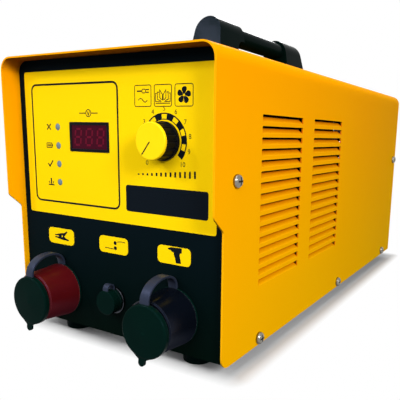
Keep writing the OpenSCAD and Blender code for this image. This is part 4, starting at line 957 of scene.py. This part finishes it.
# Rear panel's fittings: the fan in its frame behind a guard, the mains switch and the cable gland.
# They are black mouldings, the fan of a matt filled plastic, with a red rocker that is marked on and off.
# The guard is bent and welded from wire, and has the same dull nickel plating as its screws.
def fan_moulding(tree):
    return {
        "Base Color": between(tree, grain(tree, 60), shade(6, 7, 9), shade(11, 12, 15)),
        "Roughness": 0.55 + 0.15 * grain(tree, 300),
        "Specular IOR Level": 0.02,
    }


def nickel(tree):
    cloud = grain(tree, 350)
    plating = between(tree, cloud, shade(116, 112, 100), shade(156, 152, 142))
    return {
        # Painted shade: the plating is darker along sharp edges, as in the screws' recesses and round their
        # rims.
        "Base Color": between(tree, edges(tree, 0.5 * MM, 5.0), plating, shade(26, 24, 16)),
        "Metallic": 1.0,
        "Roughness": 0.12 + 0.12 * cloud,
    }


def mark_white(tree):
    return {
        "Base Color": between(tree, grain(tree, 900), shade(206, 206, 200), shade(224, 224, 218)),
        "Roughness": 0.42 + 0.1 * grain(tree, 400),
        "Specular IOR Level": 0.1,
    }


wear(["fan_frame", "fan_rotor"], dressed("fan_plastic", fan_moulding))
nickel_plate = dressed("bright_chrome", nickel)
wear(["fan_guard", "fan_screws"], nickel_plate)
wear(["power_switch_body", "cable_gland", "gland_nut"], black_plastic)
wear(["power_rocker"], red_plastic)
white_paint = dressed("white_paint", mark_white)
ROCKER_TILT = math.radians(-9)
ROCKER_HALF, ROCKER_CREST, ROCKER_VALLEY = 11.0 * MM, 5.0 * MM, 3.2 * MM
ROCKER_SLOPE = math.atan2(ROCKER_CREST - ROCKER_VALLEY, ROCKER_HALF)
rocker_joint = next(j for j in frame["record"]["behaviour"]["joints"] if j["name"] == "rocker_tilt")
on_mark = [stroke([(0, -2.4), (0, 2.4)], 1.0)]
off_mark = [circle(0, 0, 2.3), circle(0, 0, 1.5)]
to_rear = Matrix.Rotation(math.pi, 4, "Z") @ TO_FRONT @ Matrix.Rotation(ROCKER_TILT, 4, "X")
for name, loops, side in (("off", off_mark, 1), ("on", on_mark, -1)):
    spot = Vector((0, side * ROCKER_HALF / 2, (ROCKER_CREST + ROCKER_VALLEY) / 2))
    origin = Vector(rocker_joint["pos_m"]) + to_rear @ spot
    facing = to_rear @ Matrix.Rotation(side * ROCKER_SLOPE, 4, "X")
    printed(f"rocker_{name}", loops, origin, white_paint, body="switch_rocker", facing=facing)


# Cover: one folded steel sheet, top and both sides, with a stepped hood in front and lanced louvres.
# It is baked with a smooth orange-yellow enamel that has a faint orange-peel surface. Its colour also
# carries
# painted light: yellower low down and towards the rear, painted shade in the louvres (deeper orange) and on
# faces that look down (brownish), and painted highlights along sharp edges.
LOUVRE_REACH, LOUVRE_GAIN = 6 * MM, 2.4
PAINT_BACK, PAINT_DOWN, PAINT_CLOUD = 0.3, 0.75, 0.3


def recess(tree, reach, gain):
    """1 deep in a recess of the piece and 0 on open faces."""
    rays = {"samples": 8, "only_local": True}
    openness = tree.node("ShaderNodeAmbientOcclusion", rays, {"Distance": reach}, out="AO")
    return ((1 - openness) * gain).clamped()


def enamel(tree):
    back = (along(tree, "Y") - cover_low.y) / (cover_high.y - cover_low.y)
    down = (cover_high.z - along(tree, "Z")) / (cover_high.z - cover_low.z)
    cloud = grain(tree, 7, 3.0) - 0.5
    # Painted light: the enamel turns yellower low down and towards the rear.
    drift = (PAINT_BACK * back + PAINT_DOWN * down + PAINT_CLOUD * cloud).clamped()
    paint = between(tree, drift, shade(252, 160, 0), shade(252, 187, 0))
    # Painted shade: a deeper orange deep in the louvres.
    paint = between(tree, recess(tree, LOUVRE_REACH, LOUVRE_GAIN), paint, shade(214, 92, 0))
    # Painted shade: brownish on faces that look down, such as the hood's underside.
    paint = between(tree, facing_down(tree), paint, shade(132, 82, 3))
    return {
        # Painted highlight: a paler line along sharp edges, such as the hood's rim.
        "Base Color": between(tree, edges(tree, 0.7 * MM, 2.5), paint, shade(250, 190, 32)),
        "Roughness": 0.4 + 0.12 * grain(tree, 60),
        "Specular IOR Level": 0.0015,
        "Normal": relief(tree, grain(tree, 800), 0.05, 0.2 * MM),
    }


wear(["cover"], dressed("case_paint", enamel))

# Case screws: pan heads with a cross recess, in the cover's sides.
# They have the same nickel plating as the fan's guard, with painted shade in the recess and round the rim.
wear(["cover_screws"], nickel_plate)


# Handle: one tough moulding of black plastic, two blocks and a slimmer grip, screwed on from inside.
# Its surface has the fine spark-eroded texture of the mould, coarse and dull where the fingers lie.
GRIP_DULL = 1.6


def handle_moulding(tree):
    return {
        "Base Color": between(tree, grain(tree, 40), shade(1, 12, 10), shade(5, 18, 16)),
        "Roughness": (0.14 + 0.05 * grain(tree, 350) + GRIP_DULL * facing_down(tree)).clamped(),
        "Specular IOR Level": 0.01,
        "Specular Tint": COOL_SHEEN,
        "Normal": relief(tree, grain(tree, 2400), 0.12, 0.1 * MM),
    }


wear(["handle"], dressed("handle_plastic", handle_moulding))
